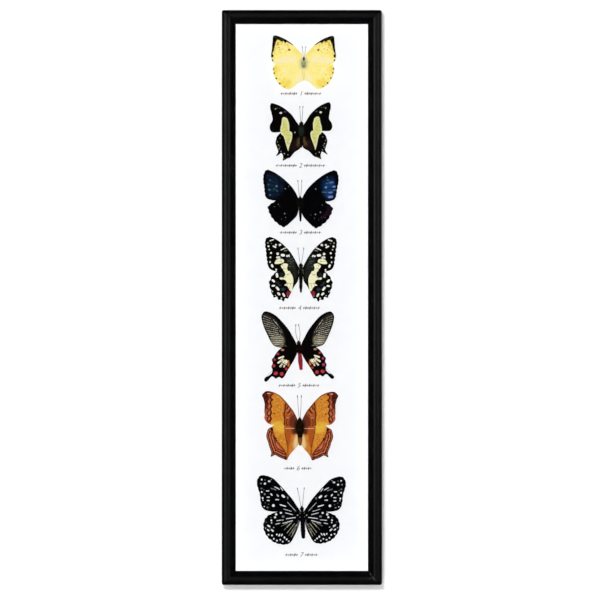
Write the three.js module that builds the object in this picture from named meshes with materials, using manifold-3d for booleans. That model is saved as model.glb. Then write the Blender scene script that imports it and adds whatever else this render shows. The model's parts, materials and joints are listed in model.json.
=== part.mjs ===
// A tall shadow-box frame with seven mounted butterflies in one column.
//
// Millimetres. X runs to the viewer's right, Z up and Y towards the wall, so the glass faces -Y.
// The origin is the point where the wall nail carries the sawtooth hanger, and the back faces of
// the rails lie in the plane y = 0. Each wing outline is given once for the right-hand side, as
// [distance from the body's axis, height above the wing root], and is mirrored for the left.

import * as THREE from 'three';
import { mergeVertices } from 'three/addons/utils/BufferGeometryUtils.js';
import Module from 'manifold-3d';

const wasm = await Module();
wasm.setup();

// ---- Driving dimensions -------------------------------------------------------------------

const FRAME_WIDTH = 160;
const FRAME_HEIGHT = 574;
const FRAME_DEPTH = 22;
const RAIL_WIDTH = 14;
const RABBET_WIDTH = 4;
const LIP_BACK = 5.2; // depth of the lip's back face below the front of the moulding
const CROWN_RADIUS = 5; // radius of the rounded outer shoulder
const TOUCH = 0.3; // gap left between pieces that touch
const HANG_DROP = 7.5; // from the frame's top edge down to the hanging point

const PLAY = 0.8; // clearance around the glass, card and panel in the rabbet
const GLASS_THICKNESS = 2;
const SPACER_WIDTH = 3;
const CARD_THICKNESS = 1.2;
const PANEL_THICKNESS = 3;
const PANEL_RECESS = 1.5;

const HANGER = { length: 44, height: 7, thickness: 0.9, rise: 1.5, tab: 8, ramp: 3, teeth: 7 };
const NAIL = { headRadius: 1.9, headHeight: 0.8, shankRadius: 0.6, shankLength: 7, hole: 0.9 };
const POINT = { length: 15, width: 6, thickness: 0.5, bite: 5 };
const POINT_HEIGHTS = [-190, 0, 190]; // along each long rail, from the frame's centre

const WING_THICKNESS = 0.4;
const WING_STAGGER = 0.8; // forewing plane in front of the hindwing plane
const DIHEDRAL = 3; // degrees that the wing tips rise towards the glass
const WING_HEIGHT = 3.1; // hindwing plane above the card at the body's axis
const BODY_HEIGHT = 3.0; // body's axis above the card
const BODY_FLATNESS = 0.88; // body's depth over its width
const BODY_SIDES = 10;
const ANTENNA_RADIUS = 0.22;
const CLUB_RADIUS = 0.5;
const ANTENNA_STEPS = 6;
const ANTENNA_SIDES = 5;
const SPLINE_STEPS = 2; // outline points for each control point

// ---- Derived levels -----------------------------------------------------------------------

const TOP = HANG_DROP;
const CENTRE_Z = TOP - FRAME_HEIGHT / 2;
const BOTTOM = TOP - FRAME_HEIGHT;
const FRONT = -FRAME_DEPTH;
const PANEL_BACK = -PANEL_RECESS;
const CARD_BACK = PANEL_BACK - PANEL_THICKNESS - TOUCH;
const CARD_FRONT = CARD_BACK - CARD_THICKNESS;
const GLASS_FRONT = FRONT + LIP_BACK + TOUCH;
const GLASS_BACK = GLASS_FRONT + GLASS_THICKNESS;
const PANE_WIDTH = FRAME_WIDTH - 2 * (RAIL_WIDTH - RABBET_WIDTH + PLAY);
const PANE_HEIGHT = FRAME_HEIGHT - 2 * (RAIL_WIDTH - RABBET_WIDTH + PLAY);

// ---- Specimens, top to bottom -------------------------------------------------------------
// x, z: wing root from the frame's centre. body: [height, radius] pairs from head to tail.
// antenna: tip's offset from the axis, tip's height and outward bow. spread: degrees that the
// wings of one side are turned up. reach: size of that side's wings.

const SPECIMENS = [
  {
    name: 'lemon', wing: 0xf3e488, hair: 0xa89a6a, x: 2, z: 237.5, lean: 1,
    left: { spread: 0, reach: 1.01 }, right: { spread: 0, reach: 0.99 },
    body: [[4, 0.9], [2.4, 1.4], [0.8, 1.2], [-1, 1.9], [-4, 2], [-7.5, 1.4], [-14, 1.3], [-20, 0.9]],
    antenna: [1.8, 14, 0.2],
    forewing: [
      [2.6, 0], [4, 6], [6.8, 10.8], [11, 15.2], [17, 19.6], [23, 22.6], [28.5, 24.2], [30.2, 23.6],
      [31, 18], [31.7, 10], [32.4, 4.5], [31.8, 0], [30, -3], [25, -3.8], [16, -3.2], [8, -2.2],
      [3, -1.8],
    ],
    hindwing: [
      [2.6, 0.5], [9, 1], [17, 0.2], [24, -1.6], [28, -3.8], [30.6, -8], [30.3, -13], [28.2, -18.5],
      [24.5, -24], [19.5, -27.8], [15, -29], [10.5, -26.8], [6, -22.6], [2.8, -20], [2.2, -12],
      [2.8, -6],
    ],
  },
  {
    name: 'nawab', wing: 0x1a1815, hair: 0x17140f, x: -0.5, z: 168.5, lean: 0,
    left: { spread: -1.5, reach: 1.01 }, right: { spread: 1.5, reach: 0.99 },
    body: [[8, 0.9], [6.6, 1.7], [4.8, 1.5], [2.5, 2.4], [-2, 2.5], [-5.5, 1.6], [-12, 1.5], [-18, 0.8]],
    antenna: [1.6, 22, 0.3],
    forewing: [
      [3, 1.5], [5.5, 8.5], [9.5, 14.5], [16, 20.5], [22.5, 24.3], [29.2, 26], [30.4, 22.5],
      [29, 15.5], [28.3, 9.5], [30.8, 5], [31.2, 0.6], [29, -2.4], [20.5, -2.5], [12, -2.2],
      [3.2, -1.6],
    ],
    hindwing: [
      [3, 1], [10, 1.5], [17, 0], [21, -3.5], [24.2, -7], [25.8, -12], [24.9, -17.3], [23.4, -21.4],
      [25.7, -26.2], [23.2, -25], [20.2, -23.4], [18.8, -26.6], [19.2, -30.8], [16.8, -29.8],
      [12.2, -28], [7.5, -23], [3, -18.5], [2.4, -11], [2.8, -5],
    ],
  },
  {
    name: 'eggfly', wing: 0x17202c, hair: 0x14120f, x: -1.7, z: 97.5, lean: -1,
    left: { spread: 1, reach: 0.99 }, right: { spread: -1, reach: 1.01 },
    body: [[4.5, 0.8], [3, 1.6], [1.4, 1.4], [-1, 2.2], [-4, 2.1], [-7, 1.5], [-14, 1.5], [-21, 0.8]],
    antenna: [2, 19, 0.4],
    forewing: [
      [2.7, 0.5], [4.5, 7], [9.2, 13.6], [15.6, 19.8], [22.5, 25], [29.5, 28.7], [34.2, 29.8],
      [36.8, 26.5], [37.7, 20], [36.6, 12.5], [36, 8], [35.3, 3.5], [33.3, 0.8], [29, -0.7],
      [20, -1.4], [10, -1.4], [3, -1.6],
    ],
    hindwing: [
      [2.8, 0], [12, 2], [21, 0.5], [28.5, -3.8], [32.4, -7.5], [31.6, -11.6], [29.6, -16],
      [26.5, -20.5], [22, -24.4], [18.5, -26.8], [15.5, -27.5], [11.5, -24.6], [7, -20.4],
      [4, -15.6], [2.4, -10], [2.7, -5],
    ],
  },
  {
    name: 'lime', wing: 0x3a3a2f, hair: 0x1a1812, x: -1, z: 28.5, lean: 0,
    left: { spread: 0.2, reach: 1 }, right: { spread: -0.2, reach: 1 },
    body: [[6, 0.9], [4.6, 1.7], [3, 1.5], [0.5, 2.5], [-5, 2.6], [-9, 1.8], [-16, 1.9], [-23, 0.9]],
    antenna: [3, 20.5, 0.3],
    forewing: [
      [3.1, 1], [5.5, 8.6], [10, 16], [15, 21.8], [21, 27], [27, 30.6], [32.2, 31.8], [35.2, 29.6],
      [35.8, 24.5], [35, 19], [34.5, 13.5], [33.7, 8], [33, 3.5], [31.4, 0.4], [27.5, -1.8],
      [22, -2.3], [12, -2], [3.3, -1.8],
    ],
    hindwing: [
      [3.1, 0], [12, 2], [20, 0.5], [24.5, -3], [28.2, -6.3], [30.4, -10.4], [31.7, -14],
      [30.8, -18.4], [30, -21], [28.6, -25], [27, -28.4], [24.2, -27.8], [22.4, -30.6], [20, -30.4],
      [17.6, -32.4], [15.6, -29.6], [13.2, -29.4], [11, -26.4], [9, -22], [6.6, -17.4], [4, -12],
      [3.2, -6],
    ],
  },
  {
    name: 'rose', wing: 0x4a443c, hair: 0x7c2227, x: -2.7, z: -49.5, lean: -3,
    left: { spread: -1.2, reach: 1.02 }, right: { spread: 1.2, reach: 0.98 },
    body: [[6.4, 0.9], [5, 1.6], [3.4, 1.5], [1, 2.3], [-3, 2.3], [-6, 1.7], [-14, 2], [-22.5, 1]],
    antenna: [1.4, 22, 1.4],
    forewing: [
      [3, 1.5], [6.2, 10.5], [10.2, 17.5], [16, 24.8], [22, 31], [28.5, 34.8], [33.2, 35.4],
      [36.2, 31.5], [35.8, 26], [33.5, 18.5], [30.8, 12.5], [28, 6.5], [24.8, 2], [19.5, 0],
      [12, -0.6], [3.2, -1.4],
    ],
    hindwing: [
      [2.9, 0.6], [9, 3], [14, 1.5], [18, -1], [21, -3.6], [23.6, -7], [25, -9.4], [27, -11.8],
      [26.2, -15.2], [27.6, -18.6], [26.6, -22], [27.4, -25], [30.2, -27.4], [33.8, -29.2],
      [35, -31.6], [33.6, -33.4], [31.2, -32], [29.2, -29.6], [27, -28.2], [25.4, -29], [23.6, -30.5],
      [20.6, -29], [17.4, -30.4], [15, -28.4], [12.6, -24], [9, -18.4], [5, -12], [2.9, -5],
    ],
  },
  {
    name: 'cruiser', wing: 0xa8602a, hair: 0x3a2417, x: -2, z: -126.5, lean: -1,
    left: { spread: 0.6, reach: 1 }, right: { spread: -0.6, reach: 1 },
    body: [[7.6, 0.9], [6, 1.8], [4.2, 1.6], [1, 3.1], [-5, 3.2], [-10, 1.9], [-16, 1.8], [-21.5, 0.9]],
    antenna: [2, 28, 0.4],
    forewing: [
      [3.6, 2], [5.9, 11.5], [9.6, 16.6], [14.6, 22.6], [21, 28.8], [27.8, 31.8], [33.5, 32.5],
      [36.6, 30.8], [38, 28.4], [36.4, 24.2], [35.3, 18.5], [35.6, 13.5], [35.2, 9.5], [35.5, 5.8],
      [33.8, 2.2], [30.5, -0.3], [26.5, -1], [15, -1.6], [3.8, -2],
    ],
    hindwing: [
      [3.8, -1], [14, 2], [23, 0.5], [28.3, -3.2], [31.8, -5.8], [33.3, -10.5], [32.8, -15],
      [31, -20.5], [29.2, -26], [28.2, -29.4], [28.6, -32.8], [24.6, -31.4], [20.6, -33],
      [17, -34.8], [12.8, -36], [11.2, -33], [7.5, -28], [4.2, -24.4], [3, -19], [3.2, -12],
      [3.9, -6],
    ],
  },
  {
    name: 'tiger', wing: 0x24252a, hair: 0x121214, x: 0.3, z: -216.5, lean: -3,
    left: { spread: 0, reach: 1.02 }, right: { spread: 0, reach: 0.985 },
    body: [[7.2, 0.9], [5.6, 1.8], [3.8, 1.6], [1.5, 2.6], [-4, 2.7], [-8, 2.1], [-16, 2.3], [-24, 1.1]],
    antenna: [3.5, 25.5, 0.2],
    forewing: [
      [3.1, 2.4], [5.6, 8.4], [10, 15], [15.8, 21.8], [22.2, 28.8], [28.7, 35], [35.2, 37.6],
      [40, 38], [43.2, 35.4], [44.4, 30.5], [43.4, 25.6], [41.5, 19.5], [40.9, 13.5], [39.4, 7.2],
      [36.2, 4], [30, 2.6], [23, 2.2], [12, 1.2], [3.3, -0.6],
    ],
    hindwing: [
      [3.4, 1], [14, 4], [23, 2.4], [29.6, 0.4], [34.2, -2.2], [37.3, -7], [38, -13], [36, -19],
      [32.6, -23.8], [27.8, -27.4], [22, -29.4], [15.6, -29.8], [11.2, -27.6], [8.2, -22.6],
      [5.2, -16.4], [3.7, -8],
    ],
  },
];

// ---- Materials ----------------------------------------------------------------------------

const FINISH = {
  lacquer: { color: 0x151413, roughness: 0.38, metalness: 0 },
  glass: { color: 0xf2f8f8, roughness: 0.05, metalness: 0, transparent: true, opacity: 0.3 },
  foam: { color: 0xf4f6f8, roughness: 0.8, metalness: 0 },
  card: { color: 0xf8fbff, roughness: 0.85, metalness: 0 },
  hardboard: { color: 0x8a6a48, roughness: 0.85, metalness: 0 },
  steel: { color: 0xb9b6a8, roughness: 0.35, metalness: 1 },
};

/** A named mesh with a material of its own. */
function piece(name, geometry, finish) {
  const mesh = new THREE.Mesh(geometry, new THREE.MeshStandardMaterial(finish));
  mesh.name = name;
  return mesh;
}

// ---- Solids -------------------------------------------------------------------------------

/** The solid that a closed three.js geometry bounds. */
function toSolid(geometry) {
  const bare = geometry.clone();
  bare.deleteAttribute('normal');
  bare.deleteAttribute('uv');
  const welded = mergeVertices(bare);
  const corners = welded.index.array;
  const triVerts = [];
  for (let i = 0; i < corners.length; i += 3) {
    const [a, b, c] = corners.slice(i, i + 3);
    if (a !== b && b !== c && c !== a) triVerts.push(a, b, c);
  }
  return new wasm.Manifold(new wasm.Mesh({
    numProp: 3,
    vertProperties: new Float32Array(welded.attributes.position.array),
    triVerts: new Uint32Array(triVerts),
  }));
}

/** The three.js geometry of a solid. */
function toGeometry(solid) {
  const { vertProperties, triVerts } = solid.getMesh();
  const geometry = new THREE.BufferGeometry();
  geometry.setAttribute('position', new THREE.BufferAttribute(vertProperties, 3));
  geometry.setIndex(new THREE.BufferAttribute(triVerts, 1));
  geometry.computeVertexNormals();
  return geometry;
}

/** A box between two opposite corners. */
function boxBetween(low, high) {
  const size = high.map((value, axis) => value - low[axis]);
  const middle = high.map((value, axis) => (value + low[axis]) / 2);
  return new THREE.BoxGeometry(...size).translate(...middle);
}

// ---- Frame --------------------------------------------------------------------------------

/** Moulding section as [inward from the outer edge, y], anticlockwise from the back outer edge. */
function railSection() {
  const shoulder = new THREE.QuadraticBezierCurve(
    new THREE.Vector2(0, FRONT + CROWN_RADIUS),
    new THREE.Vector2(0, FRONT),
    new THREE.Vector2(CROWN_RADIUS, FRONT),
  );
  const slope = new THREE.CubicBezierCurve(
    new THREE.Vector2(CROWN_RADIUS + 1, FRONT),
    new THREE.Vector2(RAIL_WIDTH - 4, FRONT),
    new THREE.Vector2(RAIL_WIDTH - 4, FRONT + LIP_BACK / 2),
    new THREE.Vector2(RAIL_WIDTH, FRONT + LIP_BACK - 1),
  );
  return [
    new THREE.Vector2(0, 0),
    ...shoulder.getPoints(5),
    ...slope.getPoints(6),
    new THREE.Vector2(RAIL_WIDTH, FRONT + LIP_BACK),
    new THREE.Vector2(RAIL_WIDTH - RABBET_WIDTH, FRONT + LIP_BACK),
    new THREE.Vector2(RAIL_WIDTH - RABBET_WIDTH, 0),
  ];
}

/** A mitred rail along X with its outer edge at z = 0 and its inner edge below it. */
function railGeometry(length) {
  const geometry = new THREE.ExtrudeGeometry(new THREE.Shape(railSection()), {
    depth: 1, steps: 1, bevelEnabled: false,
  });
  const position = geometry.attributes.position;
  for (let i = 0; i < position.count; i += 1) {
    const inward = position.getX(i);
    const end = position.getZ(i) > 0.5 ? 1 : -1;
    const halfLength = length / 2 - inward - TOUCH / 2;
    position.setXYZ(i, end * halfLength, position.getY(i), -inward);
  }
  return geometry;
}

/** Slots in a rail for its glazier's points, in the rail's own axes. */
function cutSlots(solid, places) {
  const halfWidth = POINT.width / 2 + TOUCH;
  const front = PANEL_BACK + TOUCH / 2;
  const depth = POINT.thickness + 1.5 * TOUCH;
  const rabbetWall = RABBET_WIDTH - RAIL_WIDTH;
  return places.reduce((rest, place) => rest.subtract(toSolid(boxBetween(
    [place - halfWidth, front, rabbetWall - 1],
    [place + halfWidth, front + depth, rabbetWall + POINT.bite + TOUCH],
  ))), solid);
}

/** Blind holes in the back of the top rail for the hanger's nails. */
function drillNailHoles(solid) {
  return nailPlaces().reduce((rest, [x, z]) => {
    const hole = new THREE.CylinderGeometry(NAIL.hole, NAIL.hole, 2 * NAIL.shankLength + 2, 12);
    hole.translate(x, 0, z - TOP);
    return rest.subtract(toSolid(hole));
  }, solid);
}

function nailPlaces() {
  const offset = HANGER.length / 2 - HANGER.tab / 2;
  return [[-offset, hangerMiddle()], [offset, hangerMiddle()]];
}

/** Height of the hanger strip's centreline: its teeth end at the hanging point. */
function hangerMiddle() {
  return HANGER.height / 2;
}

/** The four rails, each turned so that its outer edge faces out. */
function makeRails() {
  const sideways = [
    { name: 'rail_top', length: FRAME_WIDTH, turn: 0, x: 0, z: TOP, points: [0], nails: true },
    { name: 'rail_bottom', length: FRAME_WIDTH, turn: Math.PI, x: 0, z: BOTTOM, points: [0] },
  ];
  const upright = [
    { name: 'rail_left', turn: -Math.PI / 2, x: -FRAME_WIDTH / 2 },
    { name: 'rail_right', turn: Math.PI / 2, x: FRAME_WIDTH / 2 },
  ].map((rail) => ({ ...rail, length: FRAME_HEIGHT, z: CENTRE_Z, points: POINT_HEIGHTS }));
  return [...sideways, ...upright].map((rail) => {
    let solid = cutSlots(toSolid(railGeometry(rail.length)), rail.points);
    if (rail.nails) solid = drillNailHoles(solid);
    const mesh = piece(rail.name, toGeometry(solid), FINISH.lacquer);
    mesh.rotation.y = rail.turn;
    mesh.position.set(rail.x, 0, rail.z);
    return mesh;
  });
}

// ---- Glazing and backing ------------------------------------------------------------------

/** A flat sheet that fills the rabbet between two levels. */
function paneGeometry(frontY, backY) {
  return boxBetween(
    [-PANE_WIDTH / 2, frontY, CENTRE_Z - PANE_HEIGHT / 2],
    [PANE_WIDTH / 2, backY, CENTRE_Z + PANE_HEIGHT / 2],
  );
}

/** White strips that hold the glass off the card. */
function makeSpacers() {
  const frontY = GLASS_BACK + TOUCH;
  const backY = CARD_FRONT - TOUCH;
  const outerX = PANE_WIDTH / 2;
  const outerZ = PANE_HEIGHT / 2;
  const innerX = outerX - SPACER_WIDTH;
  const innerZ = outerZ - SPACER_WIDTH;
  const sides = [-1, 1].map((side) => piece(
    side < 0 ? 'spacer_left' : 'spacer_right',
    boxBetween(
      [Math.min(side * innerX, side * outerX), frontY, CENTRE_Z - outerZ],
      [Math.max(side * innerX, side * outerX), backY, CENTRE_Z + outerZ],
    ),
    FINISH.foam,
  ));
  const ends = [-1, 1].map((side) => piece(
    side < 0 ? 'spacer_bottom' : 'spacer_top',
    boxBetween(
      [-innerX + TOUCH, frontY, CENTRE_Z + Math.min(side * innerZ, side * outerZ)],
      [innerX - TOUCH, backY, CENTRE_Z + Math.max(side * innerZ, side * outerZ)],
    ),
    FINISH.foam,
  ));
  return [...sides, ...ends];
}

/** Flat steel points driven into the rabbet wall over the back panel. */
function makePoints() {
  const reach = RAIL_WIDTH - RABBET_WIDTH - POINT.bite + POINT.length / 2;
  const uprights = POINT_HEIGHTS.flatMap((height, row) => [-1, 1].map((side) => ({
    name: `point_${side < 0 ? 'left' : 'right'}_${row + 1}`,
    x: side * (FRAME_WIDTH / 2 - reach),
    z: CENTRE_Z + height,
    turn: 0,
  })));
  const ends = [-1, 1].map((side) => ({
    name: side < 0 ? 'point_bottom' : 'point_top',
    x: 0,
    z: CENTRE_Z + side * (FRAME_HEIGHT / 2 - reach),
    turn: Math.PI / 2,
  }));
  return [...uprights, ...ends].map(({ name, x, z, turn }) => {
    const strip = new THREE.BoxGeometry(POINT.length, POINT.thickness, POINT.width);
    const mesh = piece(name, strip, FINISH.steel);
    mesh.rotation.y = turn;
    mesh.position.set(x, PANEL_BACK + TOUCH + POINT.thickness / 2, z);
    return mesh;
  });
}

// ---- Hanger -------------------------------------------------------------------------------

/** Side view of the hanger strip, bowed clear of the rail between its two end tabs. */
function hangerShape() {
  const { length, thickness, rise, tab, ramp } = HANGER;
  const half = length / 2;
  const lower = [[half, 0], [half - tab, 0], [half - tab - ramp, rise]];
  const inner = [...lower, ...lower.map(([x, y]) => [-x, y]).reverse()];
  const outer = inner.map(([x, y]) => [x, y + thickness]).reverse();
  return new THREE.Shape([...inner, ...outer].map(([x, y]) => new THREE.Vector2(x, y)));
}

/** A sawtooth hanger: teeth cut upwards into the lower edge, and a hole in each tab. */
function makeHanger() {
  const { height, length, tab, ramp, teeth, thickness, rise } = HANGER;
  const strip = new THREE.ExtrudeGeometry(hangerShape(), { depth: height, bevelEnabled: false });
  strip.translate(0, TOUCH, -TOUCH - height / 2 + hangerMiddle());
  let solid = toSolid(strip);
  const toothed = length - 2 * (tab + ramp) - 2;
  const pitch = toothed / teeth;
  const low = -TOUCH - 1;
  for (let i = 0; i < teeth; i += 1) {
    const left = -toothed / 2 + i * pitch;
    const notch = new THREE.Shape([
      new THREE.Vector2(left, low),
      new THREE.Vector2(left + pitch, low),
      new THREE.Vector2(left + pitch / 2, pitch / 2),
    ]);
    const cutter = new THREE.ExtrudeGeometry(notch, {
      depth: 4 * (rise + thickness), bevelEnabled: false,
    });
    cutter.rotateX(Math.PI / 2);
    cutter.translate(0, 2 * (rise + thickness), 0);
    solid = solid.subtract(toSolid(cutter));
  }
  for (const [x, z] of nailPlaces()) {
    const hole = new THREE.CylinderGeometry(NAIL.hole, NAIL.hole, 4 * thickness, 12);
    hole.translate(x, 0, z);
    solid = solid.subtract(toSolid(hole));
  }
  return piece('hanger', toGeometry(solid), FINISH.steel);
}

/** Domed nails through the hanger's tabs into the top rail. */
function makeNails() {
  const { headRadius, headHeight, shankRadius, shankLength } = NAIL;
  const profile = [
    [0, -shankLength], [shankRadius, -shankLength + 1], [shankRadius, 0], [headRadius, 0],
    [headRadius * 0.8, headHeight * 0.7], [headRadius * 0.4, headHeight], [0, headHeight],
  ].map(([radius, y]) => new THREE.Vector2(radius, y));
  const seat = TOUCH + HANGER.thickness + TOUCH;
  return nailPlaces().map(([x, z], index) => {
    const mesh = piece(`nail_${index + 1}`, new THREE.LatheGeometry(profile, 12), FINISH.steel);
    mesh.position.set(x, seat, z);
    return mesh;
  });
}

// ---- Butterflies --------------------------------------------------------------------------

/** Closed curve through an outline's control points, turned and sized for one side. */
function wingShape(outline, { spread, reach }, side) {
  const turn = THREE.MathUtils.degToRad(spread);
  const centre = new THREE.Vector2();
  const controls = outline.map(([x, z]) => {
    const point = new THREE.Vector2(x, z).rotateAround(centre, turn).multiplyScalar(reach);
    return new THREE.Vector3(side * point.x, point.y, 0);
  });
  const curve = new THREE.CatmullRomCurve3(controls, true, 'centripetal');
  const points = curve.getPoints(controls.length * SPLINE_STEPS).slice(0, -1);
  return new THREE.Shape(points.map(({ x, y }) => new THREE.Vector2(x, y)));
}

/** One wing as a thin plate in the XZ plane, raised towards its tip. */
function makeWing(specimen, kind, sideName) {
  const side = sideName === 'left' ? -1 : 1;
  const shape = wingShape(specimen[kind], specimen[sideName], side);
  const plate = new THREE.ExtrudeGeometry(shape, { depth: WING_THICKNESS, bevelEnabled: false });
  plate.rotateX(Math.PI / 2);
  plate.translate(0, WING_THICKNESS / 2, 0);
  const stagger = kind === 'forewing' ? WING_STAGGER : 0;
  const mesh = piece(`${specimen.name}_${kind}_${sideName}`, plate, {
    color: specimen.wing, roughness: 0.7, metalness: 0,
  });
  mesh.rotation.z = -side * THREE.MathUtils.degToRad(DIHEDRAL);
  mesh.position.y = -(WING_HEIGHT + stagger);
  return mesh;
}

/** A thin feeler that bows outwards and ends in a club. */
function antennaSolid([tipX, tipZ, bow], headZ, side) {
  const path = new THREE.CatmullRomCurve3([
    new THREE.Vector3(side * 0.5, 0, headZ - 1),
    new THREE.Vector3(side * (tipX / 2 + bow), -0.3, (headZ + tipZ) / 2),
    new THREE.Vector3(side * tipX, -0.3, tipZ),
  ]);
  const ring = new THREE.Path().absarc(0, 0, ANTENNA_RADIUS, 0, 2 * Math.PI);
  const section = new THREE.Shape(ring.getPoints(ANTENNA_SIDES).slice(0, -1));
  const stem = new THREE.ExtrudeGeometry(section, {
    steps: ANTENNA_STEPS, extrudePath: path, bevelEnabled: false,
  });
  const club = new THREE.SphereGeometry(CLUB_RADIUS, 6, 4);
  club.scale(1, 1, 2.5);
  club.translate(side * tipX, -0.3, tipZ);
  return toSolid(stem).add(toSolid(club));
}

/** Head, thorax, abdomen and antennae in one solid that lies along Z. */
function makeBody(specimen) {
  const { name, hair, body, antenna, lean } = specimen;
  const [headZ] = body[0];
  const [tailZ] = body[body.length - 1];
  const profile = [[headZ + 0.6, 0], ...body, [tailZ - 0.8, 0]].reverse();
  const trunk = new THREE.LatheGeometry(
    profile.map(([z, radius]) => new THREE.Vector2(radius, z)),
    BODY_SIDES,
  );
  trunk.rotateX(Math.PI / 2);
  trunk.scale(1, BODY_FLATNESS, 1);
  const solid = [-1, 1].reduce(
    (whole, side) => whole.add(antennaSolid(antenna, headZ, side)),
    toSolid(trunk),
  );
  const mesh = piece(`${name}_body`, toGeometry(solid), { color: hair, roughness: 0.9, metalness: 0 });
  mesh.rotation.y = THREE.MathUtils.degToRad(lean);
  mesh.position.y = -BODY_HEIGHT;
  return mesh;
}

/** One specimen on the card: its body and four wings. */
function makeButterfly(specimen) {
  const group = new THREE.Group();
  group.position.set(specimen.x, CARD_FRONT, CENTRE_Z + specimen.z);
  group.add(makeBody(specimen));
  for (const kind of ['forewing', 'hindwing']) {
    for (const sideName of ['left', 'right']) group.add(makeWing(specimen, kind, sideName));
  }
  return group;
}

// ---- Assembly -----------------------------------------------------------------------------

const object = new THREE.Group();
object.add(...makeRails());
object.add(piece('glass', paneGeometry(GLASS_FRONT, GLASS_BACK), FINISH.glass));
object.add(...makeSpacers());
object.add(piece('card', paneGeometry(CARD_FRONT, CARD_BACK), FINISH.card));
object.add(piece('back_panel', paneGeometry(PANEL_BACK - PANEL_THICKNESS, PANEL_BACK), FINISH.hardboard));
object.add(...makePoints());
object.add(makeHanger(), ...makeNails());
object.add(...SPECIMENS.map(makeButterfly));

export default object;
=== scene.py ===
"""A tall black shadow-box frame with seven mounted butterflies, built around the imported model.

Specimen data is in millimetres from each butterfly's wing root, as (out from the body, up), and
holds for both sides. Everything that reaches Blender is in metres, with +Z up and +Y to the wall.
"""

import json
import math
import random

import bpy
import numpy as np
from bpy.props import FloatProperty, FloatVectorProperty, IntProperty, PointerProperty
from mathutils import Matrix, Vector, geometry, noise

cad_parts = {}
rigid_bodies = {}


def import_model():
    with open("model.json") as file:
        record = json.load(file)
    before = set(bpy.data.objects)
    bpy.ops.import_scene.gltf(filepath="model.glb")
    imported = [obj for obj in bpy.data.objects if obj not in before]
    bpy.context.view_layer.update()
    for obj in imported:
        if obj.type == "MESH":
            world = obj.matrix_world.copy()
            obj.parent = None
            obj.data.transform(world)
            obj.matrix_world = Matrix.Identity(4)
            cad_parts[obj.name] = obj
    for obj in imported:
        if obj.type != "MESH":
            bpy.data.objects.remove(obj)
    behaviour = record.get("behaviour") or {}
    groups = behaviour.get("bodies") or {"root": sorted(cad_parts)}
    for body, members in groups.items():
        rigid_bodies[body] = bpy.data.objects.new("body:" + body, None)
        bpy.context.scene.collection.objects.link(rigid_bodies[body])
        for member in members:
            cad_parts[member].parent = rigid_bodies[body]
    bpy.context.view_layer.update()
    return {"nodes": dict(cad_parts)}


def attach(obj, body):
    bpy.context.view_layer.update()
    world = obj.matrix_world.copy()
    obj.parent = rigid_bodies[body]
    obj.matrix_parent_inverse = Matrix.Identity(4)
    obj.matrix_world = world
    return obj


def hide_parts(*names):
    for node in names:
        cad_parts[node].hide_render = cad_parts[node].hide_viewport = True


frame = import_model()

bl_info = {
    "name": "Framed butterfly specimen",
    "version": (1, 0, 0),
    "blender": (4, 5, 0),
    "location": "3D View > Sidebar > Specimen",
    "description": "Builds a shadow-box frame with seven mounted butterflies",
    "category": "Object",
}

MM = 0.001
BODY = "root"

# ---- Levels, in millimetres, as in the solid model -----------------------------------------

FRAME_TOP = 7.5
FRAME_BOTTOM = -566.5
FRAME_HALF_WIDTH = 80.0
FRAME_CENTRE = (FRAME_TOP + FRAME_BOTTOM) / 2
FRAME_FRONT = -22.0
RAIL_WIDTH = 14.0
CROWN_RADIUS = 5.0  # of the rails' rounded outer shoulder
RABBET_EDGE = 10.0
LIP_BACK = -16.8
CARD_FRONT = -6.0
HINDWING_LEVEL = -3.1
WING_STAGGER = 0.8
BODY_LEVEL = -3.0
DIHEDRAL = math.radians(3)
BODY_FLATNESS = 0.88
WING_HALF_THICKNESS = 0.07
FAR_INSIDE = 4.0  # largest distance that a marking's field keeps
LOOP_SPACING = 1.0  # of the points along a marking's curved edge
TINY = 1e-9


def shade(code):
    """The scene-linear colour of a screen colour written as 0xRRGGBB."""
    channels = []
    for shift in (16, 8, 0):
        value = (code >> shift & 255) / 255
        channels.append(value / 12.92 if value <= 0.04045 else ((value + 0.055) / 1.055) ** 2.4)
    return (*channels, 1.0)


# ---- Flat geometry -------------------------------------------------------------------------


def smooth_path(points, closed, spacing):
    """Points along a centripetal Catmull-Rom curve through the given ones."""
    pts = [np.array(p, float) for p in points]
    count = len(pts)
    made = []
    for i in range(count if closed else count - 1):
        p1, p2 = pts[i], pts[(i + 1) % count]
        p0 = pts[i - 1] if closed or i else 2 * p1 - p2
        p3 = pts[(i + 2) % count] if closed or i + 2 < count else 2 * p2 - p1
        d0, d1, d2 = (
            max(np.linalg.norm(b - a), 1e-4) ** 0.5 for a, b in ((p0, p1), (p1, p2), (p2, p3))
        )
        t1 = ((p1 - p0) / d0 - (p2 - p0) / (d0 + d1) + (p2 - p1) / d1) * d1
        t2 = ((p2 - p1) / d1 - (p3 - p1) / (d1 + d2) + (p3 - p2) / d2) * d1
        steps = max(2, round(np.linalg.norm(p2 - p1) / spacing))
        for k in range(steps):
            s = k / steps
            made.append(
                (2 * s**3 - 3 * s**2 + 1) * p1
                + (s**3 - 2 * s**2 + s) * t1
                + (3 * s**2 - 2 * s**3) * p2
                + (s**3 - s**2) * t2
            )
    if not closed:
        made.append(pts[-1])
    return np.array(made)


def distance_to_path(points, path, closed=False):
    """Distance from each point to a chain of straight pieces."""
    starts = path if closed else path[:-1]
    ends = np.roll(path, -1, axis=0) if closed else path[1:]
    along = ends - starts
    away = points[:, None] - starts[None]
    share = np.clip((away * along).sum(2) / np.maximum((along**2).sum(1), TINY), 0, 1)
    return np.linalg.norm(away - share[..., None] * along, axis=2).min(1)


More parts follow.
